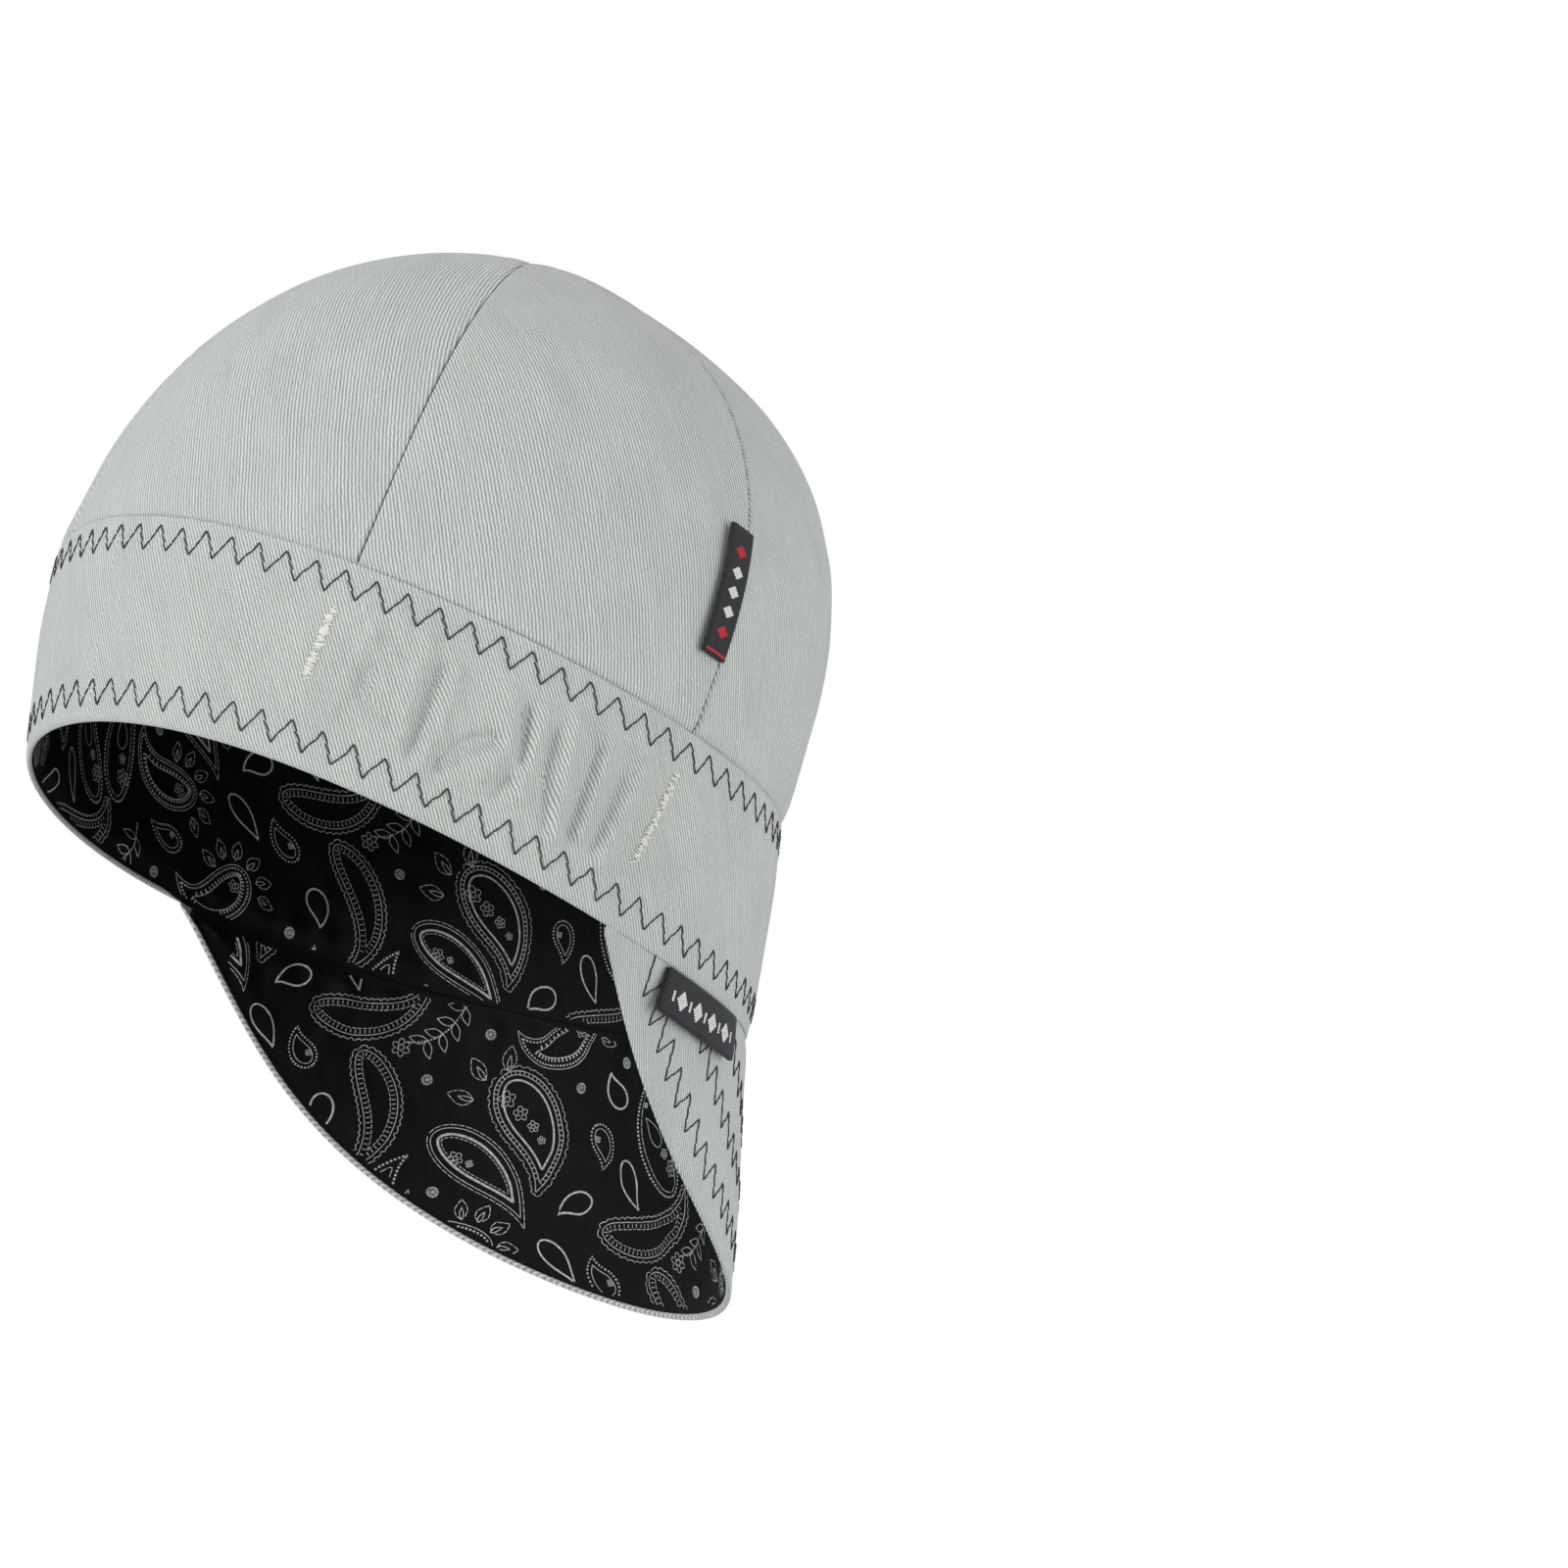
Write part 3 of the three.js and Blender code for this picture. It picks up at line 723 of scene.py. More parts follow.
def panel_swell(shape, side, along):
    """Swell of a panel: a parabola across it times a sine of the share along it."""
    return shape.panel_pillow * (1 - np.clip(side, -1, 1) ** 2) * np.sin(np.pi * along)


def panel_shell(shape, cloth, cut, outside):
    """A closed shell between two depths whose sides meet half way at its edges. Relief lifts the side that
    shows: the outer one of an outer panel, and the inner one of a lining."""
    near, far = (0, cloth.wall) if outside else lining_depths(cloth)
    step = cloth.panel_step if outside else cloth.lining_step
    across, height, side, end = panel_grid(cut, step, cloth.roll, cloth.seam_gap)
    angle, along, part = cut.place(across, height)
    small = np.minimum(1, np.interp(height, cut.height, cut.width) / (5 * cloth.roll))
    full = fullness(side, cloth.roll * small) * fullness(end, cloth.roll)
    face = crown_face(shape, angle, along)
    normal = crown_normal(shape, angle, along)
    pillow = panel_swell(shape, part, along)
    middle, half = (near + far) / 2, (far - near) / 2
    outer = pillow - middle + half * full
    inner = pillow - middle - half * full
    if outside:
        outer = outer + full * crown_relief(cloth, face, side, height)
    else:
        inner = inner - full * lining_relief(cloth, face, CROWN_CREASES)
    loop = np.concatenate([outer, inner[::-1]])
    face, normal = (np.concatenate([value, value[::-1]]) for value in (face, normal))
    points = face + loop[..., None] * normal
    flat = turned(across, height, CROWN_RIBS)
    return points, wrapped(np.concatenate([flat, flat[::-1]]), 0)


def make_crown(shape, cloth):
    """Six outer panels and then their six linings, each a shell that swells between its seams and turns in
    at them."""
    seams = panel_seams(shape)
    cuts = [PanelCut(shape, *ends) for ends in zip(seams, seams[1:])]
    for i, cut in enumerate(cuts):
        quads = grid(*panel_shell(shape, cloth, cut, True), close_rows=True)
        make_piece(f"panel_{i + 1}", quads, cotton_twill_light_grey, [f"crown_panel_{i + 1}"])
    for i, cut in enumerate(cuts):
        quads = grid(*panel_shell(shape, cloth, cut, False), close_rows=True)
        make_piece(f"lining_{i + 1}", quads, cotton_lining_black, [f"crown_lining_{i + 1}"])


def pressed_thin(cloth, distance):
    """Share of the thickness left near a free edge: a smooth step up from the pressed edge's share to 1."""
    return cloth.pressed + (1 - cloth.pressed) * smooth(distance, 0, cloth.pressed_reach)


def lining_depths(cloth):
    """Depths of the lining's two sides behind the outer face."""
    near = cloth.wall + cloth.lining_gap
    return near, near + cloth.lining_wall


def lining_relief(cloth, points, seed):
    """Height of the lining's creases over its plain inner side: never negative, sharper on top than
    between."""
    broad = ripple(points, 30 * MM, seed)
    fine = ripple(points, 13 * MM, seed + 1)
    return cloth.lining_crease * (np.clip(0.5 + 0.55 * broad, 0, 1) ** 1.6 + 0.35 * np.clip(fine, 0, 1))


def pleats(cloth, run, distance):
    """Short uneven pleats along a seam: a sine of the distance along it, fading with the exponential of the
    distance from it."""
    wander = 1.6 * np.sin(run / (23 * MM)) + 1.1 * np.sin(run / (9.7 * MM) + 1)
    beat = 0.5 + 0.5 * np.sin(2 * np.pi * run / cloth.pleat_pitch + wander)
    return cloth.pleat * beat * np.exp(-np.maximum(distance, 0) / cloth.pleat_reach)


# Band and bill

def band_free(shape, angle):
    """Share to which the band's lower edge is free: 0 where the bill is sewn to it and 1 behind the bill."""
    before, after = np.radians((2, 4))
    return smooth(np.abs(angle), shape.bill_half_angle - before, shape.bill_half_angle + after)


def band_press(shape, cloth, angle, height):
    """Share of the band's thickness left at a height over the rim, less only where that edge is free."""
    return 1 - (1 - pressed_thin(cloth, height)) * band_free(shape, angle)


def band_run(shape, angles):
    """Distance round the band half way up it, from the first angle."""
    return run_length(band_point(shape, angles, 0.5, 0.0))


def facing(cloth, depth):
    """Share of the relief that a point of the outer cloth takes: all of it on the face, and less behind it,
    to none where less than 0.4 of the wall is left."""
    return smooth(cloth.wall - depth, cloth.wall * 0.4, cloth.wall)


def hemmed_section(cloth, total, base, stretch, step_count, back_count):
    """A closed section of cloth, as depths and heights from its hemmed edge, for each station: up the face,
    over the sewn edge as a half circle, down the back to the hem, and round the edge as another half
    circle."""
    wall, half = cloth.wall, cloth.wall / 2
    small = np.minimum(1, total / cloth.narrow)
    turning = small * stretch
    low = base / 2 * turning
    high = total - half * small
    up = np.linspace(0, 1, step_count)[:, None]
    bend = np.linspace(0, np.pi, 7)[1:-1, None]
    heel = np.linspace(0, np.pi, 9)[1:-1, None]
    hem = np.maximum(cloth.hem * turning, low * 1.3)
    back = np.linspace(0, 1, back_count)[:, None]
    hem_share = np.array([0, 0.25, 0.75, 1])[:, None]
    hem_fall = np.array([0, 0.02, 0.1, 0.3])[:, None]
    depths = [
        0 * up + 0 * total,
        half - half * np.cos(bend) + 0 * total,
        wall + 0 * back + 0 * total,
        wall + (base - wall) * hem_share,
        base / 2 + base / 2 * np.cos(heel) + 0 * total,
    ]
    heights = [
        low + (high - low) * up,
        high + half * small * np.sin(bend),
        high + (hem + cloth.hem_gap - high) * back,
        hem - hem * hem_fall + 0 * total,
        low - low * np.sin(heel),
    ]
    return np.concatenate(depths), np.concatenate(heights)


def band_angles(shape, cloth):
    """Angles around the band, about one mesh step apart and half as much over the elastic. The last is the
    first again."""
    step = cloth.band_step / shape.rim_half_length
    start, end = np.radians(ELASTIC_SPAN)
    runs = ((-np.pi, start, step), (start, end, step / 2), (end, np.pi, step))
    return np.concatenate([steps_between(*run)[:-1] for run in runs] + [[np.pi]])


def make_band(shape, cloth, stitches):
    """The band's outer cloth, whose lower edge is turned in over the lining behind the bill's ends."""
    angles = band_angles(shape, cloth)
    slant = band_slant(shape, angles)
    free = band_free(shape, angles)
    _, whole = lining_depths(cloth)
    base = cloth.wall + (whole - cloth.wall) * free
    rows = int(cloth.band_fineness * shape.band_height / cloth.band_step)
    depth, height = hemmed_section(cloth, slant[None], base[None], 1.0, rows, rows // 4)
    up = height / slant
    relief = band_relief(shape, cloth, stitches, angles[None], up) * facing(cloth, depth)
    depth = depth * band_press(shape, cloth, angles[None], height)
    points = band_point(shape, angles[None], up, depth - relief)
    uv = turned(band_run(shape, angles)[None] + 0 * height, height - depth, BAND_RIBS)
    quads = grid(points[:, :-1], wrapped(uv, 0), True, True)
    make_piece("band_cloth", quads, cotton_twill_light_grey, ["band"])


def band_lining_relief(shape, cloth, angle, up):
    """The band lining's creases, deepest behind the elastic, flat at its sewn edges."""
    angle, up = np.broadcast_arrays(angle, up)
    points = band_point(shape, angle, up, 0.0)
    height = up * band_slant(shape, angle)
    edge = np.minimum(height, band_slant(shape, angle) - height)
    pleat = (1 - band_free(shape, angle)) * pleats(cloth, angle * shape.rim_half_length, height)
    return (lining_relief(cloth, points, BAND_CREASES) + pleat) * smooth(edge, *BAND_LINING_FADE)


def make_band_lining(shape, cloth):
    """The lining of the band, a closed loop of section between its two depths, creased on its inner side."""
    angles = band_angles(shape, cloth)
    slant = band_slant(shape, angles)[None]
    start = ((cloth.hem + cloth.lining_reach) * band_free(shape, angles) - cloth.lining_reach)[None]
    near, far = lining_depths(cloth)
    middle, half = (near + far) / 2, (far - near) / 2
    spots = edged(shape.band_height, cloth.band_row_step, cloth.roll)[:, None] / shape.band_height
    height = start + (slant - start) * spots
    full = fullness(np.minimum(spots, 1 - spots) * shape.band_height, cloth.roll)
    relief = band_lining_relief(shape, cloth, angles[None], height / slant) * full
    depth = np.concatenate([middle - half * full + 0 * slant, (middle + half * full + relief)[::-1]])
    height = np.concatenate([height, height[::-1]])
    depth = depth * band_press(shape, cloth, angles[None], height)
    points = band_point(shape, angles[None], height / slant, depth)
    uv = np.stack([band_run(shape, angles)[None] + 0 * height, height], -1)
    quads = grid(points[:, :-1], wrapped(uv, 0), True, True)
    make_piece("band_lining_cloth", quads, cotton_lining_black, ["band_lining"])


def bill_angles(shape, cloth, reach):
    """Angles across the bill, closer together towards its narrow ends."""
    count = int(2 * reach * shape.rim_half_length / cloth.band_step)
    crowding = 0.35
    crowded = reach * np.sin(np.linspace(-np.pi / 2, np.pi / 2, count))
    return crowded * crowding + np.linspace(-reach, reach, count) * (1 - crowding)


def end_fullness(shape, cloth, angles):
    """Rises from 0 at the bill's two ends to 1, so that its section closes there."""
    distance = (np.abs(angles).max() - np.abs(angles)) * shape.rim_half_length
    return fullness(distance, 2 * cloth.roll)


def make_bill(shape, cloth, stitches):
    """The bill's outer cloth, turned in round its free edge. Its sewn edge reaches up behind the band's."""
    angles = bill_angles(shape, cloth, shape.bill_half_angle * BILL_CLOTH_SPAN)
    total = bill_depth(shape, angles)
    _, whole = lining_depths(cloth)
    rows = int(shape.bill_length / cloth.band_step)
    stretch = 1 / bill_slope(shape, angles)
    base = whole + 0 * total[None]
    depth, height = hemmed_section(cloth, total[None], base, stretch[None], rows, rows // 3)
    down = total[None] - height * (1 + cloth.bill_reach / total[None])
    relief = bill_relief(shape, cloth, stitches, angles[None], down) * facing(cloth, depth)
    depth = depth * pressed_thin(cloth, bill_edge(shape, angles[None], down))
    middle = cloth.wall / 2
    depth = middle + (depth - relief - middle) * end_fullness(shape, cloth, angles)[None]
    points = bill_point(shape, angles[None], down, depth)
    run = run_length(rim_point(shape, angles))
    uv = turned((run - run[-1] / 2)[None] + 0 * height, height - depth, BILL_RIBS)
    quads = grid(points, wrapped(uv, 0), close_rows=True)
    make_piece("bill_cloth", quads, cotton_twill_light_grey, ["bill"])


def bill_lining_relief(shape, cloth, stitches, angle, down):
    """The bill lining's creases, with the rows' troughs from the other side, flat at its edges."""
    points = bill_point(shape, angle, down, 0.0)
    edge = np.minimum(bill_edge(shape, angle, down) - cloth.hem, down)
    rows = bill_relief(shape, cloth, stitches, angle, down, 0.0)
    relief = lining_relief(cloth, points, BILL_CREASES) * 0.8
    relief = relief + pleats(cloth, angle * shape.rim_half_length, down)
    return (relief + 1.6 * rows) * smooth(edge, *BILL_LINING_FADE)


def make_bill_lining(shape, cloth, stitches):
    """The bill's lining, a shell between its two depths that stops at the hem."""
    angles = bill_angles(shape, cloth, shape.bill_half_angle * BILL_LINING_SPAN)[None]
    near, far = lining_depths(cloth)
    middle, half = (near + far) / 2, (far - near) / 2
    total = bill_depth(shape, angles) - (cloth.hem + cloth.hem_gap) / bill_slope(shape, angles)
    spots = edged(shape.bill_length, cloth.bill_row_step, cloth.roll)[:, None] / shape.bill_length
    height = (total + cloth.lining_reach) * spots
    full = fullness(np.minimum(spots, 1 - spots) * shape.bill_length, cloth.roll)
    full = full * end_fullness(shape, cloth, angles)
    down = total - height
    relief = bill_lining_relief(shape, cloth, stitches, angles, down) * full
    depth = np.concatenate([middle - half * full, (middle + half * full + relief)[::-1]])
    down = np.concatenate([down, down[::-1]])
    depth = depth * pressed_thin(cloth, bill_edge(shape, angles, down))
    points = bill_point(shape, angles, down, depth)
    run = run_length(rim_point(shape, angles[0]))
    uv = np.stack([run[None] + 0 * down, -down], -1)
    quads = grid(points, wrapped(uv, 0), close_rows=True)
    make_piece("bill_lining_cloth", quads, cotton_lining_black, ["bill_lining"])


# Stitching

def tubes(paths, normals, radius, sides=6):
    """Closed tubes along many short paths at once: each ring is a circle of the path's normal and its cross
    product with the path, and the first and last rings shrink to a point. Paths are stitches by samples by
    3."""
    along = np.gradient(paths, axis=1)
    along /= np.linalg.norm(along, axis=-1, keepdims=True)
    across = np.cross(along, normals)
    across /= np.linalg.norm(across, axis=-1, keepdims=True)
    lift = np.cross(across, along)
    count, samples = paths.shape[:2]
    thick = np.ones(samples)
    thick[[0, -1]] = 0
    turn_round = np.linspace(0, 2 * np.pi, sides, endpoint=False)
    ring = across[:, :, None] * np.cos(turn_round)[:, None] + lift[:, :, None] * np.sin(turn_round)[:, None]
    points = paths[:, :, None] + radius * thick[:, None, None] * ring
    sample, side = np.meshgrid(np.arange(samples - 1), np.arange(sides), indexing="ij")
    sample, side = sample.ravel(), side.ravel()
    corner_sample = np.stack([sample, sample + 1, sample + 1, sample], 1)
    corner_side = np.stack([side, side, side + 1, side + 1], 1)
    one = corner_sample * sides + corner_side % sides
    faces = (np.arange(count)[:, None, None] * samples * sides + one).reshape(-1, 4)
    run = np.linalg.norm(np.diff(paths, axis=1), axis=-1).cumsum(1)
    run = np.concatenate([np.zeros((count, 1)), run], 1)
    v = run[:, corner_sample]
    u = np.broadcast_to(corner_side * (2 * np.pi * radius / sides), v.shape)
    return points.reshape(-1, 3), faces, np.stack([u, v], -1).reshape(-1, 4, 2)


def needle_points(stitches, row, random, closed):
    """Starts and ends of a row's stitches, as distances along and across it: three stitches to a leg. Those
    of a rising leg meet a little off its line. Each of a falling leg starts before that line and ends past
    it."""
    part = np.array([0, 1 / 3, 2 / 3])
    phase = np.concatenate([part * stitches.fall, stitches.fall + part * (1 - stitches.fall)])
    kink = np.array([0, 0, 0, 0, 1, -1]) * stitches.kink
    run = ((np.arange(row.count)[:, None] + phase) * row.pitch).ravel()
    across = zigzag(stitches, run + 1e-9, row.pitch) + np.tile(kink, row.count)
    across = across + random.normal(0, stitches.stray, across.size)
    run = run + random.normal(0, stitches.stray, run.size)
    if closed:
        run, across = np.append(run, row.run[-1] + run[0]), np.append(across, across[0])
    before = np.tile(np.array([0, 1, 1, 0, 0, 0]) * stitches.jog, row.count)[: len(run) - 1]
    past = np.tile(np.array([1, 1, 0, 0, 0, 0]) * stitches.jog, row.count)[: len(run) - 1]
    return (run[:-1] - before, across[:-1]), (run[1:] + past, across[1:])


def stitch_paths(start, end, samples):
    """Straight runs from the starts to the ends, in two distances, and the thread's lift, which is 1 in the
    middle and -1 at the holes."""
    part = (1 - np.cos(np.linspace(0, np.pi, samples))) / 2
    along, side = (a[:, None] + (b - a)[:, None] * part for a, b in zip(start, end))
    return along, side, 1 - 2 * np.abs(2 * part - 1) ** 5


def make_zigzags(shape, cloth, stitches):
    """The dark zigzag rows around the band and on the bill, each stitch an arch from hole to hole."""
    random = np.random.default_rng(stitches.seed)
    radius = stitches.thread / 2
    lift = radius * THREAD_LIFT
    for i, row in enumerate(band_rows(shape, stitches)):
        along, side, arch = stitch_paths(*needle_points(stitches, row, random, True), STITCH_SAMPLES)
        angle = np.interp(along % row.run[-1], row.run, row.angles)
        height = np.interp(angle, row.angles, row.from_foot) + side
        up = height / band_slant(shape, angle)
        relief = band_relief(shape, cloth, stitches, angle, up)
        paths = band_point(shape, angle, up, -relief - lift * arch)
        tube = tubes(paths, level(shape, angle), radius)
        make_piece(f"zigzag_band_{i + 1}", tube, polyester_thread_dark)
    for i, row in enumerate(bill_rows(shape, stitches)):
        along, side, arch = stitch_paths(*needle_points(stitches, row, random, False), STITCH_SAMPLES)
        angle = np.interp(along, row.run, row.angles)
        down = np.interp(angle, row.angles, row.from_foot) - side / bill_slope(shape, angle)
        relief = bill_relief(shape, cloth, stitches, angle, down)
        paths = bill_point(shape, angle, down, -relief - lift * arch)
        tube = tubes(paths, level(shape, angle), radius)
        make_piece(f"zigzag_bill_{i + 1}", tube, polyester_thread_dark)


def make_elastic_ends(shape, cloth, stitches):
    """Dense narrow light zigzags that hold the two ends of the elastic, uneven and broken in places."""
    random = np.random.default_rng(stitches.seed + 1)
    radius, scatter = stitches.light_thread / 2, stitches.end_scatter
    count = stitches.end_count
    points = count + 1
    paths, normals = [], []
    for end in ELASTIC_ENDS:
        for layer in range(2):
            part = np.sort(random.uniform(0, 1, points) * scatter + np.linspace(0, 1 - scatter, points))
            swing = np.where(np.arange(points) % 2, 1.0, -1.0) * random.uniform(0.3, 1.2, points)
            kept = random.uniform(size=count) > stitches.end_missing
            side_angle = swing * stitches.end_swing / shape.rim_half_width
            angle = np.radians(end["top_angle"] + (end["low_angle"] - end["top_angle"]) * part) + side_angle
            up = end["top_up"] + (end["low_up"] - end["top_up"]) * part
            starts, ends = (angle[:-1], up[:-1]), (angle[1:], up[1:])
            angle, up, arch = stitch_paths(starts, ends, END_STITCH_SAMPLES)
            relief = band_relief(shape, cloth, stitches, angle, up)
            lift = radius * (1.0 + 0.9 * layer) * arch + random.uniform(0, 0.2, (count, 1)) * MM
            paths.append(band_point(shape, angle, up, -relief - lift)[kept])
            normals.append(level(shape, angle)[kept])
    tube = tubes(np.concatenate(paths), np.concatenate(normals), radius, 5)
    make_piece("elastic_end_stitches", tube, polyester_thread_light)


# Tabs

def ribbon_path(tabs, width):
    """Middle line of a folded ribbon's section, with its normals: out along one layer, round a half circle
    and back along the other, spaced evenly along its length."""
    radius = (tabs.wall + tabs.fold_gap) / 2
    flat = width - radius - tabs.wall / 2
    total = 2 * flat + np.pi * radius
    run = np.linspace(0, total, RIBBON_SAMPLES)
    bend = np.clip((run - flat) / radius, 0, np.pi)
    x = np.where(run < flat, run, np.where(bend < np.pi, flat + radius * np.sin(bend), total - run))
    y = tabs.wall / 2 + radius - radius * np.cos(bend)
    return run, np.stack([x, y], -1), np.stack([np.sin(bend), -np.cos(bend)], -1)


def make_ribbon(tabs, name, width, place, replaced):
    """A folded ribbon swept along a seam: its section is the path widened to both sides by half the wall,
    and its two cut ends close on the path itself."""
    run, path, normal = ribbon_path(tabs, width)
    closing = np.ones(len(run))
    closing[[0, -1]] = 0
    half = tabs.wall / 2 * np.concatenate([closing, closing[::-1]])[:, None]
    path = np.concatenate([path, path[::-1]])
    normal = np.concatenate([normal, -normal[::-1]])
    section = path + normal * half
    along = np.linspace(0, 1, RIBBON_STATIONS)
    stations = np.concatenate([along[:1], along, along[-1:]])
    sections = np.repeat(section[None], len(stations), 0)
    sections[[0, -1]] = path
    points = place(stations[:, None], sections[..., 0], sections[..., 1])
    lengths = np.linalg.norm(np.diff(points[:, 0], axis=0), axis=-1).cumsum()
    v = np.concatenate([[0], lengths])[:, None]
    u = np.concatenate([run, run[::-1], run[:1]])[None]
    uv = np.stack(np.broadcast_arrays(u, v), -1)
    quads = grid(points, uv, close_columns=True)
    make_piece(name, quads, polyester_ribbon_black, [replaced])


def side_tab_place(shape, tabs):
    """Place on the side tab of a share along it, a distance out from the seam and one through the ribbon:
    it lies in the seam in front of the gathered panel and folds back over that panel, lifted off it."""
    angle = shape.gathered_middle + shape.gathered_angle / 2

    def place(part, out, through):
        part, out, through = np.broadcast_arrays(part, out, through)
        along = along_at_rise(shape, angle, tabs.side_rise + tabs.side_length * part)
        normal = crown_normal(shape, angle + 0 * along, along)
        root = crown_face(shape, angle, along) + shape.clearance * normal
        back = crown_face(shape, angle - np.radians(1), along) - crown_face(shape, angle, along)
        back /= np.linalg.norm(back, axis=-1, keepdims=True)
        through = through - tabs.bow * (out / tabs.side_width) ** 2
        cos, sin = np.cos(tabs.side_lift), np.sin(tabs.side_lift)
        outward = (back * cos + normal * sin) * out[..., None]
        return root + outward + (normal * cos - back * sin) * through[..., None]

    return place


def bill_tab_place(shape, tabs):
    """Place on the bill tab of a share along it, a distance down from the band and one through the ribbon:
    it hangs from the seam between the band and the bill, clear of the bill."""

    def place(part, down, through):
        part, down, through = np.broadcast_arrays(part, down, through)
        angle = tabs.bill_start + (tabs.bill_end - tabs.bill_start) * part
        lift = tabs.bill_lift
        root = bill_point(shape, angle, shape.clearance, -shape.clearance)
        seat = bill_point(shape, angle, shape.clearance + down, -shape.clearance) - root
        clear = np.maximum(0, (seat * level(shape, angle)).sum(-1))
        out = clear + down * np.sin(lift) + through * np.cos(lift) - tabs.bow * (down / tabs.bill_drop) ** 2
        fall = down * np.cos(lift) - through * np.sin(lift)
        return root + out[..., None] * level(shape, angle) - fall[..., None] * UPRIGHT

    return place


def lozenge(middle, across, high, wide, tabs):
    """Yarns of a woven lozenge, each a (start, end) along the tab at its distance across, longest in the
    middle."""
    count = int(high / tabs.yarn)
    offset = (np.arange(count) - (count - 1) / 2) * tabs.yarn
    half = wide / 2 * (1 - np.abs(offset) / (high / 2))
    return np.stack([middle - half, middle + half, across + offset], -1)


def bars(middles, across, high, wide, tabs):
    """Yarns of upright bars of one width along the tab."""
    count = int(high / tabs.yarn)
    offset = (np.arange(count) - (count - 1) / 2) * tabs.yarn
    start, row = np.meshgrid(np.asarray(middles), across + offset)
    return np.stack([start - wide / 2, start + wide / 2, row], -1).reshape(-1, 3)


def make_marks(tabs, name, marks, total, width, place, finish):
    """Raised satin yarns on a tab's outer layer: each is a low ridge of two quads, from its start to its
    end."""
    top = 2 * tabs.wall + tabs.fold_gap
    half = tabs.yarn * 0.46
    start, end, across = np.concatenate(marks).T
    row = across[:, None] + np.array([-half, 0, half])
    lift = top + np.array([-0.02, 0.14, -0.02]) * MM + 0 * row
    ends = [place((value / total)[:, None], row, lift) for value in (start, end)]
    points = np.stack(ends, 1)
    first = np.arange(len(start))[:, None, None] * 6
    quads = np.array([[0, 1, 4, 3], [1, 2, 5, 4]])
    faces = (first + quads).reshape(-1, 4)
    flat = points.reshape(-1, 3)
    normal = np.cross(flat[faces[0, 1]] - flat[faces[0, 0]], flat[faces[0, 3]] - flat[faces[0, 0]])
    outward = place(0.5, width / 2, top) - place(0.5, width / 2, 0.0)
    if (normal * outward).sum() < 0:
        faces = faces[:, ::-1]
    u = np.stack([row, row], 1).reshape(-1)
    v = np.stack([start[:, None] + 0 * row, end[:, None] + 0 * row], 1).reshape(-1)
    uv = np.stack([u, v], -1)[faces]
    make_piece(name, (flat, faces, uv), finish)


def make_tabs(shape, tabs):
    """The two folded ribbons, with plain woven lozenges and bars."""
    side, bill = side_tab_place(shape, tabs), bill_tab_place(shape, tabs)
    make_ribbon(tabs, "side_ribbon", tabs.side_width, side, "side_tab")
    make_ribbon(tabs, "bill_ribbon", tabs.bill_drop, bill, "bill_tab")

    middle, high, wide = tabs.side_width * 0.52, tabs.side_mark_height, tabs.side_mark_width
    white = [lozenge(at * MM, middle, high, wide, tabs) for at in SIDE_WHITE_LOZENGES]
    red = [lozenge(at * MM, middle, high, wide, tabs) for at in SIDE_RED_LOZENGES]
    bar_middle, bar_high = tabs.side_width * 0.5, tabs.side_width * 0.9
    red.append(bars([tabs.end_bar_place], bar_middle, bar_high, tabs.end_bar_width, tabs))
    for tone, marks, yarn in (("white", white, polyester_yarn_white), ("red", red, polyester_yarn_red)):
        make_marks(tabs, f"side_marks_{tone}", marks, tabs.side_length, tabs.side_width, side, yarn)

    angles = np.linspace(tabs.bill_start, tabs.bill_end, 60)
    total = run_length(rim_point(shape, angles))[-1]
    middle, high, wide = tabs.bill_drop * 0.54, tabs.bill_mark_height, tabs.bill_mark_width
    white = [lozenge(total * at, middle, high, wide, tabs) for at in BILL_LOZENGES]
    white.append(bars(total * np.array(BILL_BARS), middle, tabs.bar_height, tabs.bar_width, tabs))
    make_marks(tabs, "bill_marks_white", white, total, tabs.bill_drop, bill, polyester_yarn_white)


# Lining print: each line is (points, width, dash, gap) in metres, flat, around its own middle

def points_at(points, distances):
    """The flat line's points at distances along it."""
    run = run_length(points)
    return np.stack([np.interp(distances, run, points[:, i]) for i in (0, 1)], -1)


def resample(points, step):
    """The line's points again, evenly spaced about one step apart."""
    return points_at(points, steps_between(0, run_length(points)[-1], step))


def side_of(points):
    """Left normal of a flat line at each point."""
    along = np.gradient(points, axis=0)
    along /= np.maximum(np.linalg.norm(along, axis=1, keepdims=True), 1e-12)
    return np.stack([-along[:, 1], along[:, 0]], -1)


def boteh(size, width, curl):
    """Closed outline of a bent drop, anticlockwise: its spine turns by the curl times a power of the share
    along, and its half width is a quarter circle to a third of the way and then a power of a cosine."""
    part = (1 - np.cos(np.linspace(0, np.pi, 300))) / 2
    heading = curl * part ** 1.7
    step = np.gradient(part)[:, None] * size
    spine = np.cumsum(np.stack([np.cos(heading), np.sin(heading)], -1) * step, 0)
    blunt = 0.34
    head = np.sqrt(np.clip(1 - (1 - part / blunt) ** 2, 0, 1))
    tail = np.clip(np.cos(np.pi / 2 * (part - blunt) / (1 - blunt)), 0, 1) ** 1.25
    half = np.where(part < blunt, head, tail)[:, None] * width / 2
    normal = np.stack([-np.sin(heading), np.cos(heading)], -1)
    loop = np.concatenate([spine - normal * half, (spine + normal * half)[::-1]])
    return resample(loop - spine.mean(0), 0.7 * MM)


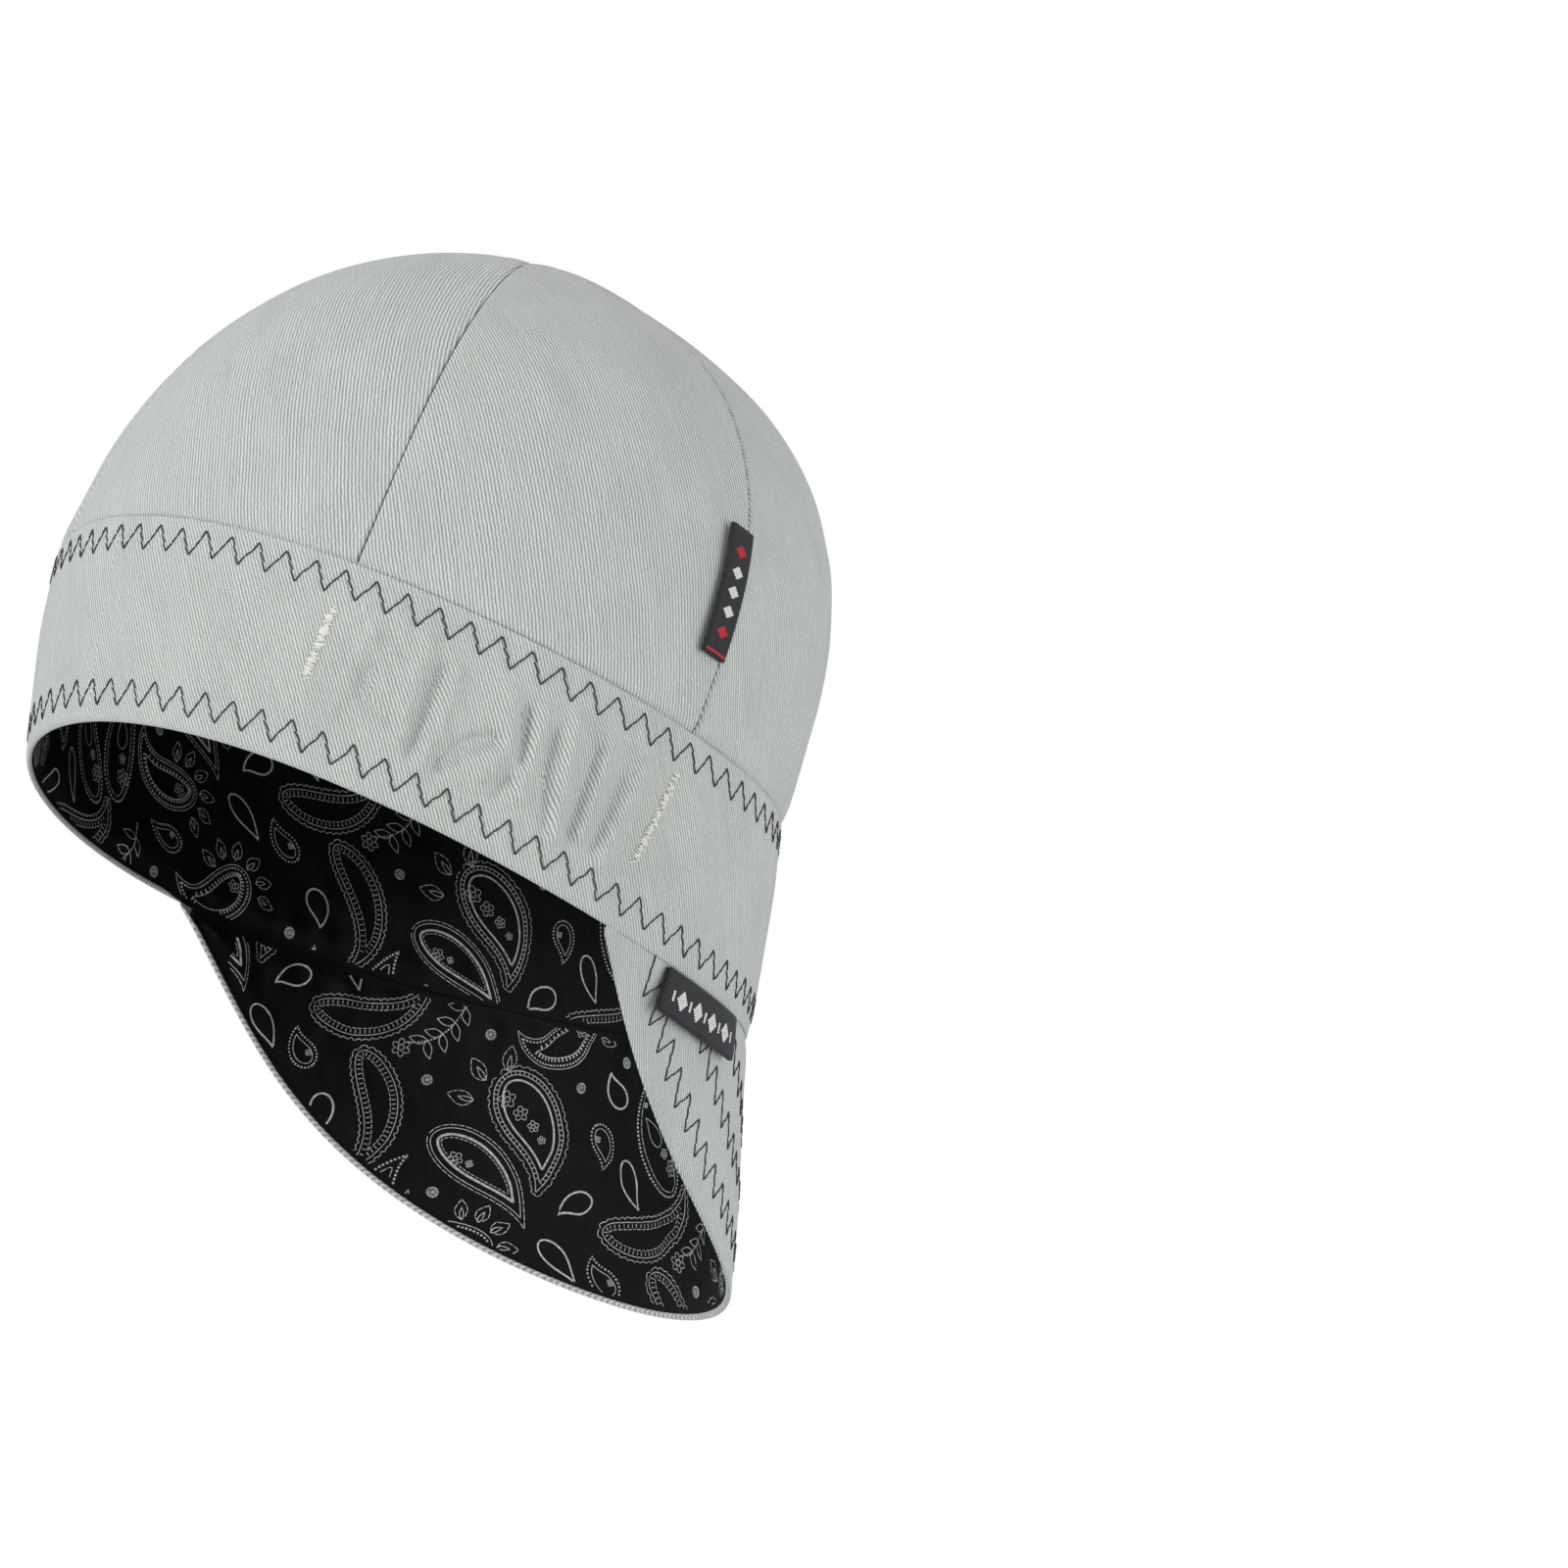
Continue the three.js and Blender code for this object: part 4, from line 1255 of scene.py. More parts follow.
def inset(loop, distance):
    """The loop moved inwards by a distance, or outwards by a negative one, without the points that would
    come nearer to it than that."""
    shifted = loop + side_of(loop) * distance
    gap = np.linalg.norm(shifted[:, None] - loop[None], axis=-1).min(1)
    return shifted[gap > abs(distance) * 0.96]


def rungs(loop, near, far, every):
    """Short lines across the loop's border, from one inset to another."""
    normal = side_of(loop)
    ends = loop + normal * far
    kept = np.linalg.norm(ends[:, None] - loop[None], axis=-1).min(1) > far * 0.96
    picked = np.arange(0, len(loop), every)
    picked = picked[kept[picked]]
    return [np.stack([loop[i] + normal[i] * near, ends[i]]) for i in picked]


def scallops(loop, distance, rise, pitch):
    """A line outside the loop whose distance to it swings by the size of a sine."""
    run = run_length(loop)
    out = distance + rise * np.abs(np.sin(np.pi * run / pitch))
    return loop - side_of(loop) * out[:, None]


def flower(petals, radius):
    """A closed line whose radius swings with the size of a cosine, one swing to a petal."""
    angle = np.linspace(0, 2 * np.pi, petals * 12 + 1)
    out = radius * (0.55 + 0.45 * np.abs(np.cos(petals * angle / 2)))
    return np.stack([np.cos(angle), np.sin(angle)], -1) * out[:, None]


def leaf(size, width, bend):
    """Closed outline of a leaf from its foot at the origin: two bows of a sine about a bent middle."""
    part = np.linspace(0, 1, 24)
    middle = np.stack([part * size, bend * size * part ** 2], -1)
    bow = np.stack([0 * part, np.sin(np.pi * part ** 0.85) * width / 2], -1)
    return np.concatenate([middle - bow, (middle + bow)[::-1]])


def moved(lines, x=0.0, y=0.0, degrees=0.0, mirror=1):
    """Lines mirrored, turned and then shifted, in degrees and millimetres."""
    a = np.radians(degrees)
    matrix = np.array([[np.cos(a), -np.sin(a)], [np.sin(a), np.cos(a)]]) @ np.diag([1, mirror])
    return [(points @ matrix.T + np.array([x, y]) * MM, *rest) for points, *rest in lines]


def blossom(ink, x, y, radius, petals=5):
    """A small flower with a smaller one inside it, at a place in millimetres."""
    outer, inner = flower(petals, radius * MM), flower(petals - 1, radius * 0.4 * MM)
    return moved([(outer, ink.fine_line, 0, 0), (inner, ink.fine_line, 0, 0)], x, y)


def fan(ink, x, y, radius, size, width, angles):
    """Pointed leaves with a dashed vein that stand round a point, in millimetres and degrees."""
    lines = []
    for degrees in angles:
        a = np.radians(degrees)
        blade = [(leaf(size * MM, width * MM, 0.12), ink.fine_line, 1.5 * MM, 0.3 * MM)]
        blade += [(leaf(size * 0.6 * MM, width * 0.3 * MM, 0.12), ink.fine_line, 0, 0)]
        lines += moved(blade, x + radius * np.cos(a), y + radius * np.sin(a), degrees)
    return lines


def grand_drop(ink):
    """A large bent drop: a bold inner line, a laddered border, a scalloped fringe, flowers and three
    leaves."""
    loop = boteh(36 * MM, 17 * MM, 1.25)
    fine = ink.fine_line
    lines = [(loop, fine, 0, 0), (inset(loop, 1.1 * MM), fine, 0, 0)]
    lines += [(inset(loop, 2.6 * MM), ink.bold_line, 0, 0)]
    lines += [(rung, fine, 0, 0) for rung in rungs(loop, 0.0, 1.1 * MM, 2)]
    lines += [(scallops(loop, 0.8 * MM, 0.9 * MM, 2.1 * MM), fine, 1.3 * MM, 0.3 * MM)]
    for x, y, radius in ((-10.5, -2, 2.5), (-5, -2.2, 2.1), (0, -2.4, 1.6), (4.4, -1.6, 1.1)):
        lines += blossom(ink, x, y, radius)
    return lines + fan(ink, -9, -1, 9.6, 7.5, 4.2, (140, 180, 222))


def beaded_drop(ink):
    """A long drop with a beaded border, a dashed inner line, and a small drop and flowers inside."""
    loop = boteh(36 * MM, 12.5 * MM, -0.85)
    lines = [(loop, 0.55 * MM, 0.6 * MM, 0.5 * MM)]
    lines += [(inset(loop, 1.3 * MM), ink.fine_line, 2.2 * MM, 0.3 * MM)]
    lines += moved([(boteh(9 * MM, 4 * MM, 0.5), ink.fine_line, 0, 0)], 1.5, 1.4, -12)
    for x, y, radius, petals in ((-10.5, 0.6, 2.4, 6), (-5.5, 1.0, 1.4, 5), (8.5, -0.6, 0.8, 4)):
        lines += blossom(ink, x, y, radius, petals)
    return lines


def double_drop(ink):
    """A drop in two dashed lines with a bold line and a fine one inside them, and one flower."""
    loop = boteh(37 * MM, 14.5 * MM, 0.9)
    fine = ink.fine_line
    lines = [(loop, fine, 1.7 * MM, 0.35 * MM), (inset(loop, 0.9 * MM), fine, 0, 0)]
    lines += [(inset(loop, 2.7 * MM), 0.65 * MM, 0, 0), (inset(loop, 3.6 * MM), fine, 0.9 * MM, 0.4 * MM)]
    return lines + blossom(ink, -8.5, -1.2, 1.9) + blossom(ink, -4.6, -1.6, 1.0, 4)


def petal_drop(ink):
    """A hooked drop with a toothed border, and pointed petals round its blunt end."""
    loop = boteh(31 * MM, 12.5 * MM, 2.25)
    fine = ink.fine_line
    lines = [(loop, fine, 0, 0), (inset(loop, 0.9 * MM), 0.5 * MM, 0.55 * MM, 0.45 * MM)]
    lines += [(inset(loop, 3.0 * MM), fine, 0, 0)]
    lines += [(rung, 0.45 * MM, 0, 0) for rung in rungs(loop, 1.9 * MM, 3.0 * MM, 2)]
    middle = loop[:, 0].min() / MM + 6.4, loop[np.argmin(loop[:, 0]), 1] / MM
    lines += fan(ink, *middle, 7.3, 5.5, 3.4, range(95, 256, 32))
    return lines + blossom(ink, *middle, 1.8)


def comb_drop(ink):
    """A long, much bent drop with comb teeth inside and scallops outside."""
    loop = boteh(38 * MM, 9.5 * MM, -1.75)
    fine = ink.fine_line
    lines = [(loop, fine, 0, 0), (scallops(loop, 0.7 * MM, 0.8 * MM, 1.9 * MM), fine, 0, 0)]
    lines += [(inset(loop, 1.9 * MM), fine, 1.1 * MM, 0.4 * MM)]
    return lines + [(rung, fine, 0, 0) for rung in rungs(loop, 0.5 * MM, 1.5 * MM, 2)]


def bold_drop(ink):
    """A small drop in one bold line."""
    return [(boteh(11 * MM, 6.2 * MM, 0.8), ink.bold_line, 0, 0)]


def slim_drop(ink):
    """A small narrow drop in one bold line."""
    return [(boteh(14 * MM, 5.2 * MM, -0.35), ink.bold_line * 0.85, 0, 0)]


def dotted_drop(ink):
    """A small drop with a beaded line and a fine one inside it."""
    loop = boteh(13 * MM, 7 * MM, -1.1)
    lines = [(loop, 0.5 * MM, 0.5 * MM, 0.5 * MM), (inset(loop, 1.2 * MM), ink.fine_line, 0, 0)]
    return lines + blossom(ink, -2.6, 0.2, 0.9, 4)


def sprig(ink):
    """A curved beaded stem with pairs of leaves and a flower."""
    part = np.linspace(0, 1, 40)[:, None]
    stem = np.concatenate([part * 22 * MM, 6 * MM * np.sin(2.6 * part)], 1) - np.array([11, 3]) * MM
    lines = [(resample(stem, 0.6 * MM), 0.4 * MM, 0.5 * MM, 0.4 * MM)]
    for i in (6, 14, 22, 30):
        for side in (-1, 1):
            blade = [(leaf(5.2 * MM, 2.3 * MM, 0.15), ink.fine_line, 0, 0)]
            lines += moved(blade, *(stem[i] / MM), side * 48 + 14, side)
    return lines + blossom(ink, 13, 0.6, 2.6, 6)


def ring_dot(ink):
    """A ring with a dot in it."""
    return [(flower(12, 1.5 * MM), ink.fine_line, 0, 0), (flower(12, 0.4 * MM), 0.45 * MM, 0, 0)]


# Motifs in the order in which they are laid: how many, the clearance round each in millimetres, and whether
# it nestles against those laid before it or keeps away from them
MOTIFS = (
    (grand_drop, 1, 0.9, True),
    (double_drop, 1, 0.9, True),
    (petal_drop, 2, 0.9, True),
    (beaded_drop, 2, 0.9, True),
    (comb_drop, 2, 0.9, True),
    (grand_drop, 1, 0.9, True),
    (sprig, 1, 0.9, True),
    (dotted_drop, 3, 1.4, False),
    (bold_drop, 3, 1.4, False),
    (slim_drop, 2, 1.4, False),
    (ring_dot, 5, 1.4, False),
)


def footprint(lines, clearance, cell):
    """Grid points inside a motif's first line, where a level ray crosses it an odd number of times, or
    within a clearance of any of its lines."""
    dense = np.concatenate([resample(points, cell) for points, *_ in lines])
    low, high = dense.min(0) - clearance, dense.max(0) + clearance
    across, up = (steps_between(a, b, cell) for a, b in zip(low, high))
    spots = np.stack(np.meshgrid(across, up, indexing="ij"), -1).reshape(-1, 1, 2)
    gap = np.hypot(spots[..., 0] - dense[:, 0], spots[..., 1] - dense[:, 1]).min(1)
    start, way = lines[0][0], np.roll(lines[0][0], -1, 0) - lines[0][0]
    crossed = (start[:, 1] > spots[..., 1]) != (start[:, 1] + way[:, 1] > spots[..., 1])
    level_way = np.where(way[:, 1] == 0, 1, way[:, 1])
    ahead = start[:, 0] + way[:, 0] * (spots[..., 1] - start[:, 1]) / level_way > spots[..., 0]
    inside = (crossed & ahead).sum(1) % 2 == 1
    return spots[inside | (gap < clearance), 0]


class Layout:
    """One half-drop repeat in cells, with those marked that the motifs laid so far take up."""

    def __init__(self, ink):
        self.size = np.array([ink.tile_width, ink.tile_height])
        self.cell = ink.cell
        self.nestle = ink.nestle
        self.taken = np.zeros((self.size / ink.cell).astype(int) + 1, bool)
        self.random = np.random.default_rng(ink.seed)

    def cells(self, spots, place):
        """Cells under spots laid at a place. What leaves the repeat at its side comes back in half a repeat
        lower."""
        flat = moved([(spots,)], *place)[0][0]
        columns = np.floor(flat[:, 0] / self.size[0])
        flat = np.stack([flat[:, 0], flat[:, 1] - columns * self.size[1] / 2], -1) % self.size
        return tuple((flat / self.cell).astype(int).T)

    def lay(self, motif_lines, clearance, nestles, trials):
        """Tries seeded places, and takes the free one that touches most of the others, or fewest."""
        tight = footprint(motif_lines, clearance, self.cell)
        wide = footprint(motif_lines, clearance + self.nestle, self.cell)
        best = None
        for _ in range(trials):
            x, y = self.random.uniform(0, self.size / MM)
            place = (x, y, self.random.uniform(0, 360), self.random.choice([-1, 1]))
            cells = self.cells(tight, place)
            if self.taken[cells].any():
                continue
            touch = self.taken[self.cells(wide, place)].sum() * (1 if nestles else -1)
            if best is None or touch > best[0]:
                best = touch, place, cells
        if best is None:
            return []
        self.taken[best[2]] = True
        return moved(motif_lines, *best[1])


def ribbon_quads(points, width, dash, gap):
    """Flat quads along a line: joined ones for a solid line, and one to each dash otherwise."""
    if dash:
        start = np.arange(0, run_length(points)[-1] - dash, dash + gap)
        first, last = (points_at(points, at) for at in (start, start + dash))
        way = last - first
        side = np.stack([-way[:, 1], way[:, 0]], -1)
        side *= width / 2 / np.maximum(np.linalg.norm(side, axis=1, keepdims=True), 1e-12)
        return np.stack([first - side, last - side, last + side, first + side], 1)
    side = side_of(points) * width / 2
    near, far = points - side, points + side
    return np.stack([near[:-1], near[1:], far[1:], far[:-1]], 1)


def print_tile(ink):
    """All quads of one repeat of the print."""
    layout = Layout(ink)
    lines = []
    for motif, number, clearance, nestles in MOTIFS:
        for _ in range(number):
            lines += layout.lay(motif(ink), clearance * MM, nestles, ink.trials)
    return np.concatenate([ribbon_quads(*line) for line in lines])


def print_field(ink, tile, low, high, shift):
    """Quads of the print over a flat area, each second column of repeats dropped by half a repeat."""
    size = np.array([ink.tile_width, ink.tile_height])
    first = np.floor((np.array(low) - shift) / size).astype(int) - 1
    last = np.ceil((np.array(high) - shift) / size).astype(int) + 1
    copies = []
    for i in range(first[0], last[0] + 1):
        for j in range(first[1], last[1] + 1):
            copies.append(tile + size * (i, j + 0.5 * (i % 2)) + shift)
    quads = np.concatenate(copies)
    middle = quads.mean(1)
    return quads[((middle > low) & (middle < high)).all(1)]


def make_print(name, quads, to_space):
    """Puts the flat quads onto a lining, drops those that leave it, and turns them to face the wearer."""
    flat = quads.reshape(-1, 2)
    points, inside = to_space(flat[:, 0], flat[:, 1])
    kept = inside.reshape(-1, 4).all(1)
    points = points.reshape(-1, 4, 3)[kept]
    faces = np.arange(kept.sum() * 4).reshape(-1, 4)
    normal = np.cross(points[:, 1] - points[:, 0], points[:, 3] - points[:, 0])
    centre = np.array([0, 10 * MM, 60 * MM])
    outwards = (normal * (points[:, 0] - centre)).sum(-1) > 0
    faces[outwards] = faces[outwards][:, ::-1]
    uv = quads[kept].copy()
    uv[outwards] = uv[outwards][:, ::-1]
    make_piece(name, (points.reshape(-1, 3), faces, uv), printed_line_white)


def make_prints(shape, cloth, stitches, ink):
    """The print on the linings of the band, the bill and the six panels."""
    _, far = lining_depths(cloth)
    depth = far + ink.ink
    tile = print_tile(ink)
    angles = np.linspace(-np.pi, np.pi, ROUND_SAMPLES)
    run = band_run(shape, angles)
    highest = band_slant(shape, angles).max()

    def on_band(u, v):
        angle = np.interp(u, run, angles)
        slant = band_slant(shape, angle)
        up = np.clip(v / slant, 0, 1)
        relief = band_lining_relief(shape, cloth, angle, up)
        inside = (v > cloth.hem * band_free(shape, angle) + ink.edge) & (v < slant - ink.edge)
        return band_point(shape, angle, up, (depth + relief) * band_press(shape, cloth, angle, v)), inside

    field = print_field(ink, tile, (0, 0), (run[-1], highest), BAND_SHIFT)
    make_print("print_band", field, on_band)

    rim_run = run_length(rim_point(shape, angles))
    rim_run = rim_run - rim_run[-1] / 2

    def on_bill(u, v):
        angle = np.interp(u, rim_run, angles)
        down = np.clip(-v, 0, bill_depth(shape, angle))
        relief = bill_lining_relief(shape, cloth, stitches, angle, down)
        edge = bill_edge(shape, angle, down)
        inside = (down > ink.edge) & (edge - cloth.hem > ink.edge)
        inside &= np.abs(angle) < shape.bill_half_angle * BILL_PRINT_SPAN
        return bill_point(shape, angle, down, (depth + relief) * pressed_thin(cloth, edge)), inside

    half_run = np.interp(shape.bill_half_angle, angles, rim_run)
    field = print_field(ink, tile, (-half_run, -shape.bill_length), (half_run, 0), BILL_SHIFT)
    make_print("print_bill", field, on_bill)

    seams = panel_seams(shape)
    for i in range(PANEL_COUNT):
        cut = PanelCut(shape, seams[i], seams[i + 1])

        def on_panel(u, v):
            angle, along, side = cut.place(u, v)
            normal = crown_normal(shape, angle, along)
            face = crown_face(shape, angle, along)
            pillow = panel_swell(shape, side, along)
            relief = lining_relief(cloth, face, CROWN_CREASES)
            inside = (np.abs(side) < PANEL_PRINT_SPAN) & (v > ink.edge) & (v < cut.height[-1] - ink.edge)
            return face + (pillow - depth - relief)[:, None] * normal, inside

        half = cut.width.max() / 2
        field = print_field(ink, tile, (-half, 0), (half, cut.height[-1]), PANEL_SHIFT * (i + 1))
        make_print(f"print_panel_{i + 1}", field, on_panel)


# Materials

def add_node(tree, kind, *inputs, **settings):
    """Adds a node with its settings, sets or links its inputs in their order, where None leaves one as it
    is, and gives its first output."""
    node = tree.nodes.new(f"ShaderNode{kind}")
    for name, value in settings.items():
        setattr(node, name, value)
    for socket, value in zip(node.inputs, inputs):
        if isinstance(value, NodeSocket):
            tree.links.new(value, socket)
        elif value is not None:
            socket.default_value = value
    return node.outputs[0]


def material_of(finish):
    """The material of a finish, made once: named after the finish's function, which builds its nodes."""
    name = finish.__name__
    if name not in bpy.data.materials:
        material = bpy.data.materials.new(name)
        material.use_nodes = True
        finish(material.node_tree, bpy.context.scene.cap_colours)
    return bpy.data.materials[name]


def give_surface(tree, shade, bump=None, roughness=0.5, sheen=0.0, sheen_roughness=0.5, gloss=0.3):
    """Gives the shader its colour and finish and, where there is one, its bump: a height from 0 to 1 and the
    real distance that 1 stands for."""
    shader = tree.nodes["Principled BSDF"]
    tree.links.new(shade, shader.inputs["Base Color"])
    if bump:
        height, distance = bump
        tree.links.new(add_node(tree, "Bump", 1.0, distance, None, height), shader.inputs["Normal"])
    shader.inputs["Roughness"].default_value = roughness
    shader.inputs["Sheen Weight"].default_value = sheen
    shader.inputs["Sheen Roughness"].default_value = sheen_roughness
    shader.inputs["Specular IOR Level"].default_value = gloss


def opaque(value):
    """A colour with full alpha, for a colour socket."""
    return (*value, 1.0)


def wave(tree, position, pitch):
    """A cosine of a position, from 0 to 1, with one swing to each pitch."""
    turns = add_node(tree, "Math", position, 2 * np.pi / pitch, operation="MULTIPLY")
    swing = add_node(tree, "Math", turns, operation="COSINE")
    return add_node(tree, "Math", swing, 0.5, 0.5, operation="MULTIPLY_ADD")


def toned(tree, shade, tone):
    """A colour times a tone."""
    grey = add_node(tree, "CombineColor", tone, tone, tone)
    return add_node(tree, "MixRGB", 1.0, shade, grey, blend_type="MULTIPLY")


def weave_axes(tree):
    """The piece's weave coordinates, and their two lengths on the cloth in metres."""
    place = add_node(tree, "UVMap", uv_map=WEAVE_UV)
    across = add_node(tree, "SeparateXYZ", place)
    return place, across, across.node.outputs["Y"]


def cotton_twill_light_grey(tree, colours):
    """Cotton twill, piece dyed: soft ribs 0.9 mm apart that wander and fade in places, broken into beads by
    the yarns that cross them, and a soft unevenness of the dye. The colour follows the ribs' height, as a
    painted highlight on their tops and painted shade in the grooves. Matt, with a faint bloom of loose
    fibres."""
    rib_pitch, yarn_pitch = 0.9 * MM, 0.7 * MM
    place, x, y = weave_axes(tree)
    sizes = ((28, 1), (1.6, 1), (1.1, 1), (1.9, 2), (22, 3), (0.6, 2))  # in millimetres, with the detail
    wander, waver, stagger, clear, broad, speck = (
        add_node(tree, "TexNoise", place, None, 1 / (size * MM), detail) for size, detail in sizes
    )
    x = add_node(tree, "Math", wander, 1.2 * MM, x, operation="MULTIPLY_ADD")
    x = add_node(tree, "Math", waver, 0.5 * MM, x, operation="MULTIPLY_ADD")
    rib = add_node(tree, "Math", wave(tree, x, rib_pitch), 0.85, operation="POWER")
    half_step = add_node(tree, "Math", x, np.pi / rib_pitch, operation="MULTIPLY")
    y = add_node(tree, "Math", stagger, 0.9 * MM, y, operation="MULTIPLY_ADD")
    along = add_node(tree, "Math", y, 2 * np.pi / yarn_pitch, half_step, operation="MULTIPLY_ADD")
    swing = add_node(tree, "Math", along, operation="COSINE")
    yarn = add_node(tree, "Math", swing, 0.5, 0.5, operation="MULTIPLY_ADD")
    bead = add_node(tree, "MapRange", yarn, 0, 1, 0.7, 1.0)
    beads = add_node(tree, "Math", rib, bead, operation="MULTIPLY")
    clear = add_node(tree, "MapRange", clear, 0, 1, 0.5, 1.4)
    swell = add_node(tree, "Math", beads, 0.5, operation="SUBTRACT")
    height = add_node(tree, "Math", swell, clear, 0.5, operation="MULTIPLY_ADD")
    # Painted highlight and shade: the rib colour where the weave stands high, the darker groove colour where
    # it lies low.
    shade = add_node(tree, "MixRGB", height, opaque(colours.groove), opaque(colours.rib))
    streaks = add_node(tree, "Mapping", place, None, None, (1.0, 0.06, 1.0))
    streak = add_node(tree, "TexNoise", streaks, None, 1 / (1.6 * MM), 1.0)
    streak = add_node(tree, "MapRange", streak, 0, 1, 0.9, 1.08)
    broad, speck = (add_node(tree, "MapRange", dye, 0, 1, 0.9, 1.09) for dye in (broad, speck))
    tone = add_node(tree, "Math", streak, broad, operation="MULTIPLY")
    tone = add_node(tree, "Math", tone, speck, operation="MULTIPLY")
    bump = height, 0.13 * MM
    give_surface(tree, toned(tree, shade, tone), bump, roughness=0.88, sheen=0.12, sheen_roughness=0.45)


def cotton_lining_black(tree, colours):
    """Printed cotton lining, plain woven and dyed nearly black: fine crossing yarns drawn at 0.8 mm, twice
    their real spacing so that they show, a low dull gloss and slightly faded patches, which are lightest on
    the raised yarns as a painted highlight."""
    pitch = 0.8 * MM
    place, x, y = weave_axes(tree)
    height = add_node(tree, "Math", wave(tree, x, pitch), wave(tree, y, pitch), operation="MULTIPLY")
    patch = add_node(tree, "TexNoise", place, None, 1 / (9 * MM), 3.0)
    # Painted highlight: within the faded patches, the raised yarns take more of the lighter colour than those
    # between.
    painted_yarn_highlight = add_node(tree, "MapRange", height, 0, 1, 0.5, 1.0)
    fade = add_node(tree, "Math", patch, painted_yarn_highlight, operation="MULTIPLY")
    lighter = opaque(2.0 * value for value in colours.lining)
    shade = add_node(tree, "MixRGB", fade, opaque(colours.lining), lighter)
    give_surface(tree, shade, (height, 0.08 * MM), roughness=0.62, sheen_roughness=0.4, gloss=0.11)


def printed_line_white(tree, colours):
    """Discharge print on cotton: chalky grey-white lines that the weave breaks up, a little fainter in
    places."""
    place, _, _ = weave_axes(tree)
    grain = add_node(tree, "TexNoise", place, None, 1 / (1.1 * MM), 2.0, 0.7)
    broken = add_node(tree, "MapRange", grain, 0, 1, -0.05, 1.6)
    faint = add_node(tree, "TexNoise", place, None, 1 / (22 * MM), 1.0)
    faint = add_node(tree, "MapRange", faint, 0, 1, 0.6, 1.2)
    part = add_node(tree, "Math", broken, faint, operation="MULTIPLY")
    shade = add_node(tree, "MixRGB", part, opaque(colours.lining), opaque(colours.print_ink))
    give_surface(tree, shade, (grain, 0.05 * MM), roughness=0.85)


def spun(tree, value, strand, roughness):
    """Spun thread: a helix of plies shown by slanting bands of painted highlight and painted shade, a strand
    apart, with a little fuzz from its sheen."""
    _, x, y = weave_axes(tree)
    ply = wave(tree, add_node(tree, "Math", x, y, operation="ADD"), strand)
    # Painted shade and highlight: a darker and a lighter copy of the thread's colour, mixed along the
    # slanting ply bands.
    dark = opaque(0.7 * part for part in value)
    light = opaque(min(1.0, 1.15 * part) for part in value)
    shade = add_node(tree, "MixRGB", ply, dark, light)
    give_surface(tree, shade, (ply, 0.06 * MM), roughness=roughness, sheen=0.1, sheen_roughness=0.4)


def polyester_thread_dark(tree, colours):
    """Polyester sewing thread, dark grey, twisted from two plies: a slight gloss along each stitch."""
    spun(tree, colours.thread, 0.7 * MM, 0.55)


def polyester_thread_light(tree, colours):
    """Polyester sewing thread, off-white, loosely laid: chalky and a little fuzzy."""
    spun(tree, colours.light_thread, 0.6 * MM, 0.75)


def polyester_ribbon_black(tree, colours):
    """Woven polyester ribbon, nearly black: close ribs across its length, drawn at 0.6 mm, with a satin
    gloss and a painted highlight on the ribs' tops."""
    pitch = 0.6 * MM
    _, x, y = weave_axes(tree)
    crossing = add_node(tree, "MapRange", wave(tree, x, pitch), 0, 1, 0.6, 1.0)
    height = add_node(tree, "Math", wave(tree, y, pitch), crossing, operation="MULTIPLY")
    # Painted highlight: the ribs' tops take the lighter copy of the ribbon's colour.
    lighter = opaque(1.5 * value for value in colours.ribbon)
    shade = add_node(tree, "MixRGB", height, opaque(colours.ribbon), lighter)
    give_surface(tree, shade, (height, 0.09 * MM), roughness=0.55, sheen=0.05, sheen_roughness=0.35)


def polyester_yarn_white(tree, colours):
    """Satin polyester yarn, white, woven into the ribbon: bright, with a soft gloss along each yarn."""
    spun(tree, colours.ribbon_white, 0.8 * MM, 0.5)


def polyester_yarn_red(tree, colours):
    """Satin polyester yarn, red, woven into the ribbon: bright, with a soft gloss along each yarn."""
    spun(tree, colours.ribbon_red, 0.8 * MM, 0.5)


def painted_board_pale(tree, colours):
    """Matt painted board: pale, with hardly any gloss."""
    place = add_node(tree, "TexCoord").node.outputs["Object"]
    tone = add_node(tree, "TexNoise", place, None, 2.0, 2.0)
    tone = add_node(tree, "MapRange", tone, 0, 1, 0.98, 1.0)
    give_surface(tree, toned(tree, opaque(colours.floor), tone), roughness=0.9)


# Stage

# Lights round the camera's view: how far to the right, up and towards the camera, in metres from the cap,
# the light's width in metres and its power in watts
LIGHTS = (
    ("key", -1.1, 0.4, 1.0, 0.5, 16.0),
    ("fill", 1.3, -0.2, 0.8, 1.2, 12.5),
    ("top", -0.4, 1.3, -0.1, 1.0, 3.0),
)


def view_axes(stage):
    """Right, up and towards-the-camera directions of the view: level axes of its azimuth and elevation,
    rolled."""
    a, e, roll = stage.azimuth, stage.elevation, stage.roll
    towards = np.array([-np.sin(a) * np.cos(e), -np.cos(a) * np.cos(e), np.sin(e)])
    right = np.cross(-towards, [0, 0, 1])
    right /= np.linalg.norm(right)
    up = np.cross(right, -towards)
    return np.cos(roll) * right - np.sin(roll) * up, np.cos(roll) * up + np.sin(roll) * right, towards


def placed(axes, position):
    """Matrix of an object that looks along its own -Z, with those axes and that place."""
    matrix = np.eye(4)
    matrix[:3, :3] = np.stack(axes, 1)
    matrix[:3, 3] = position
    return Matrix(matrix.tolist())


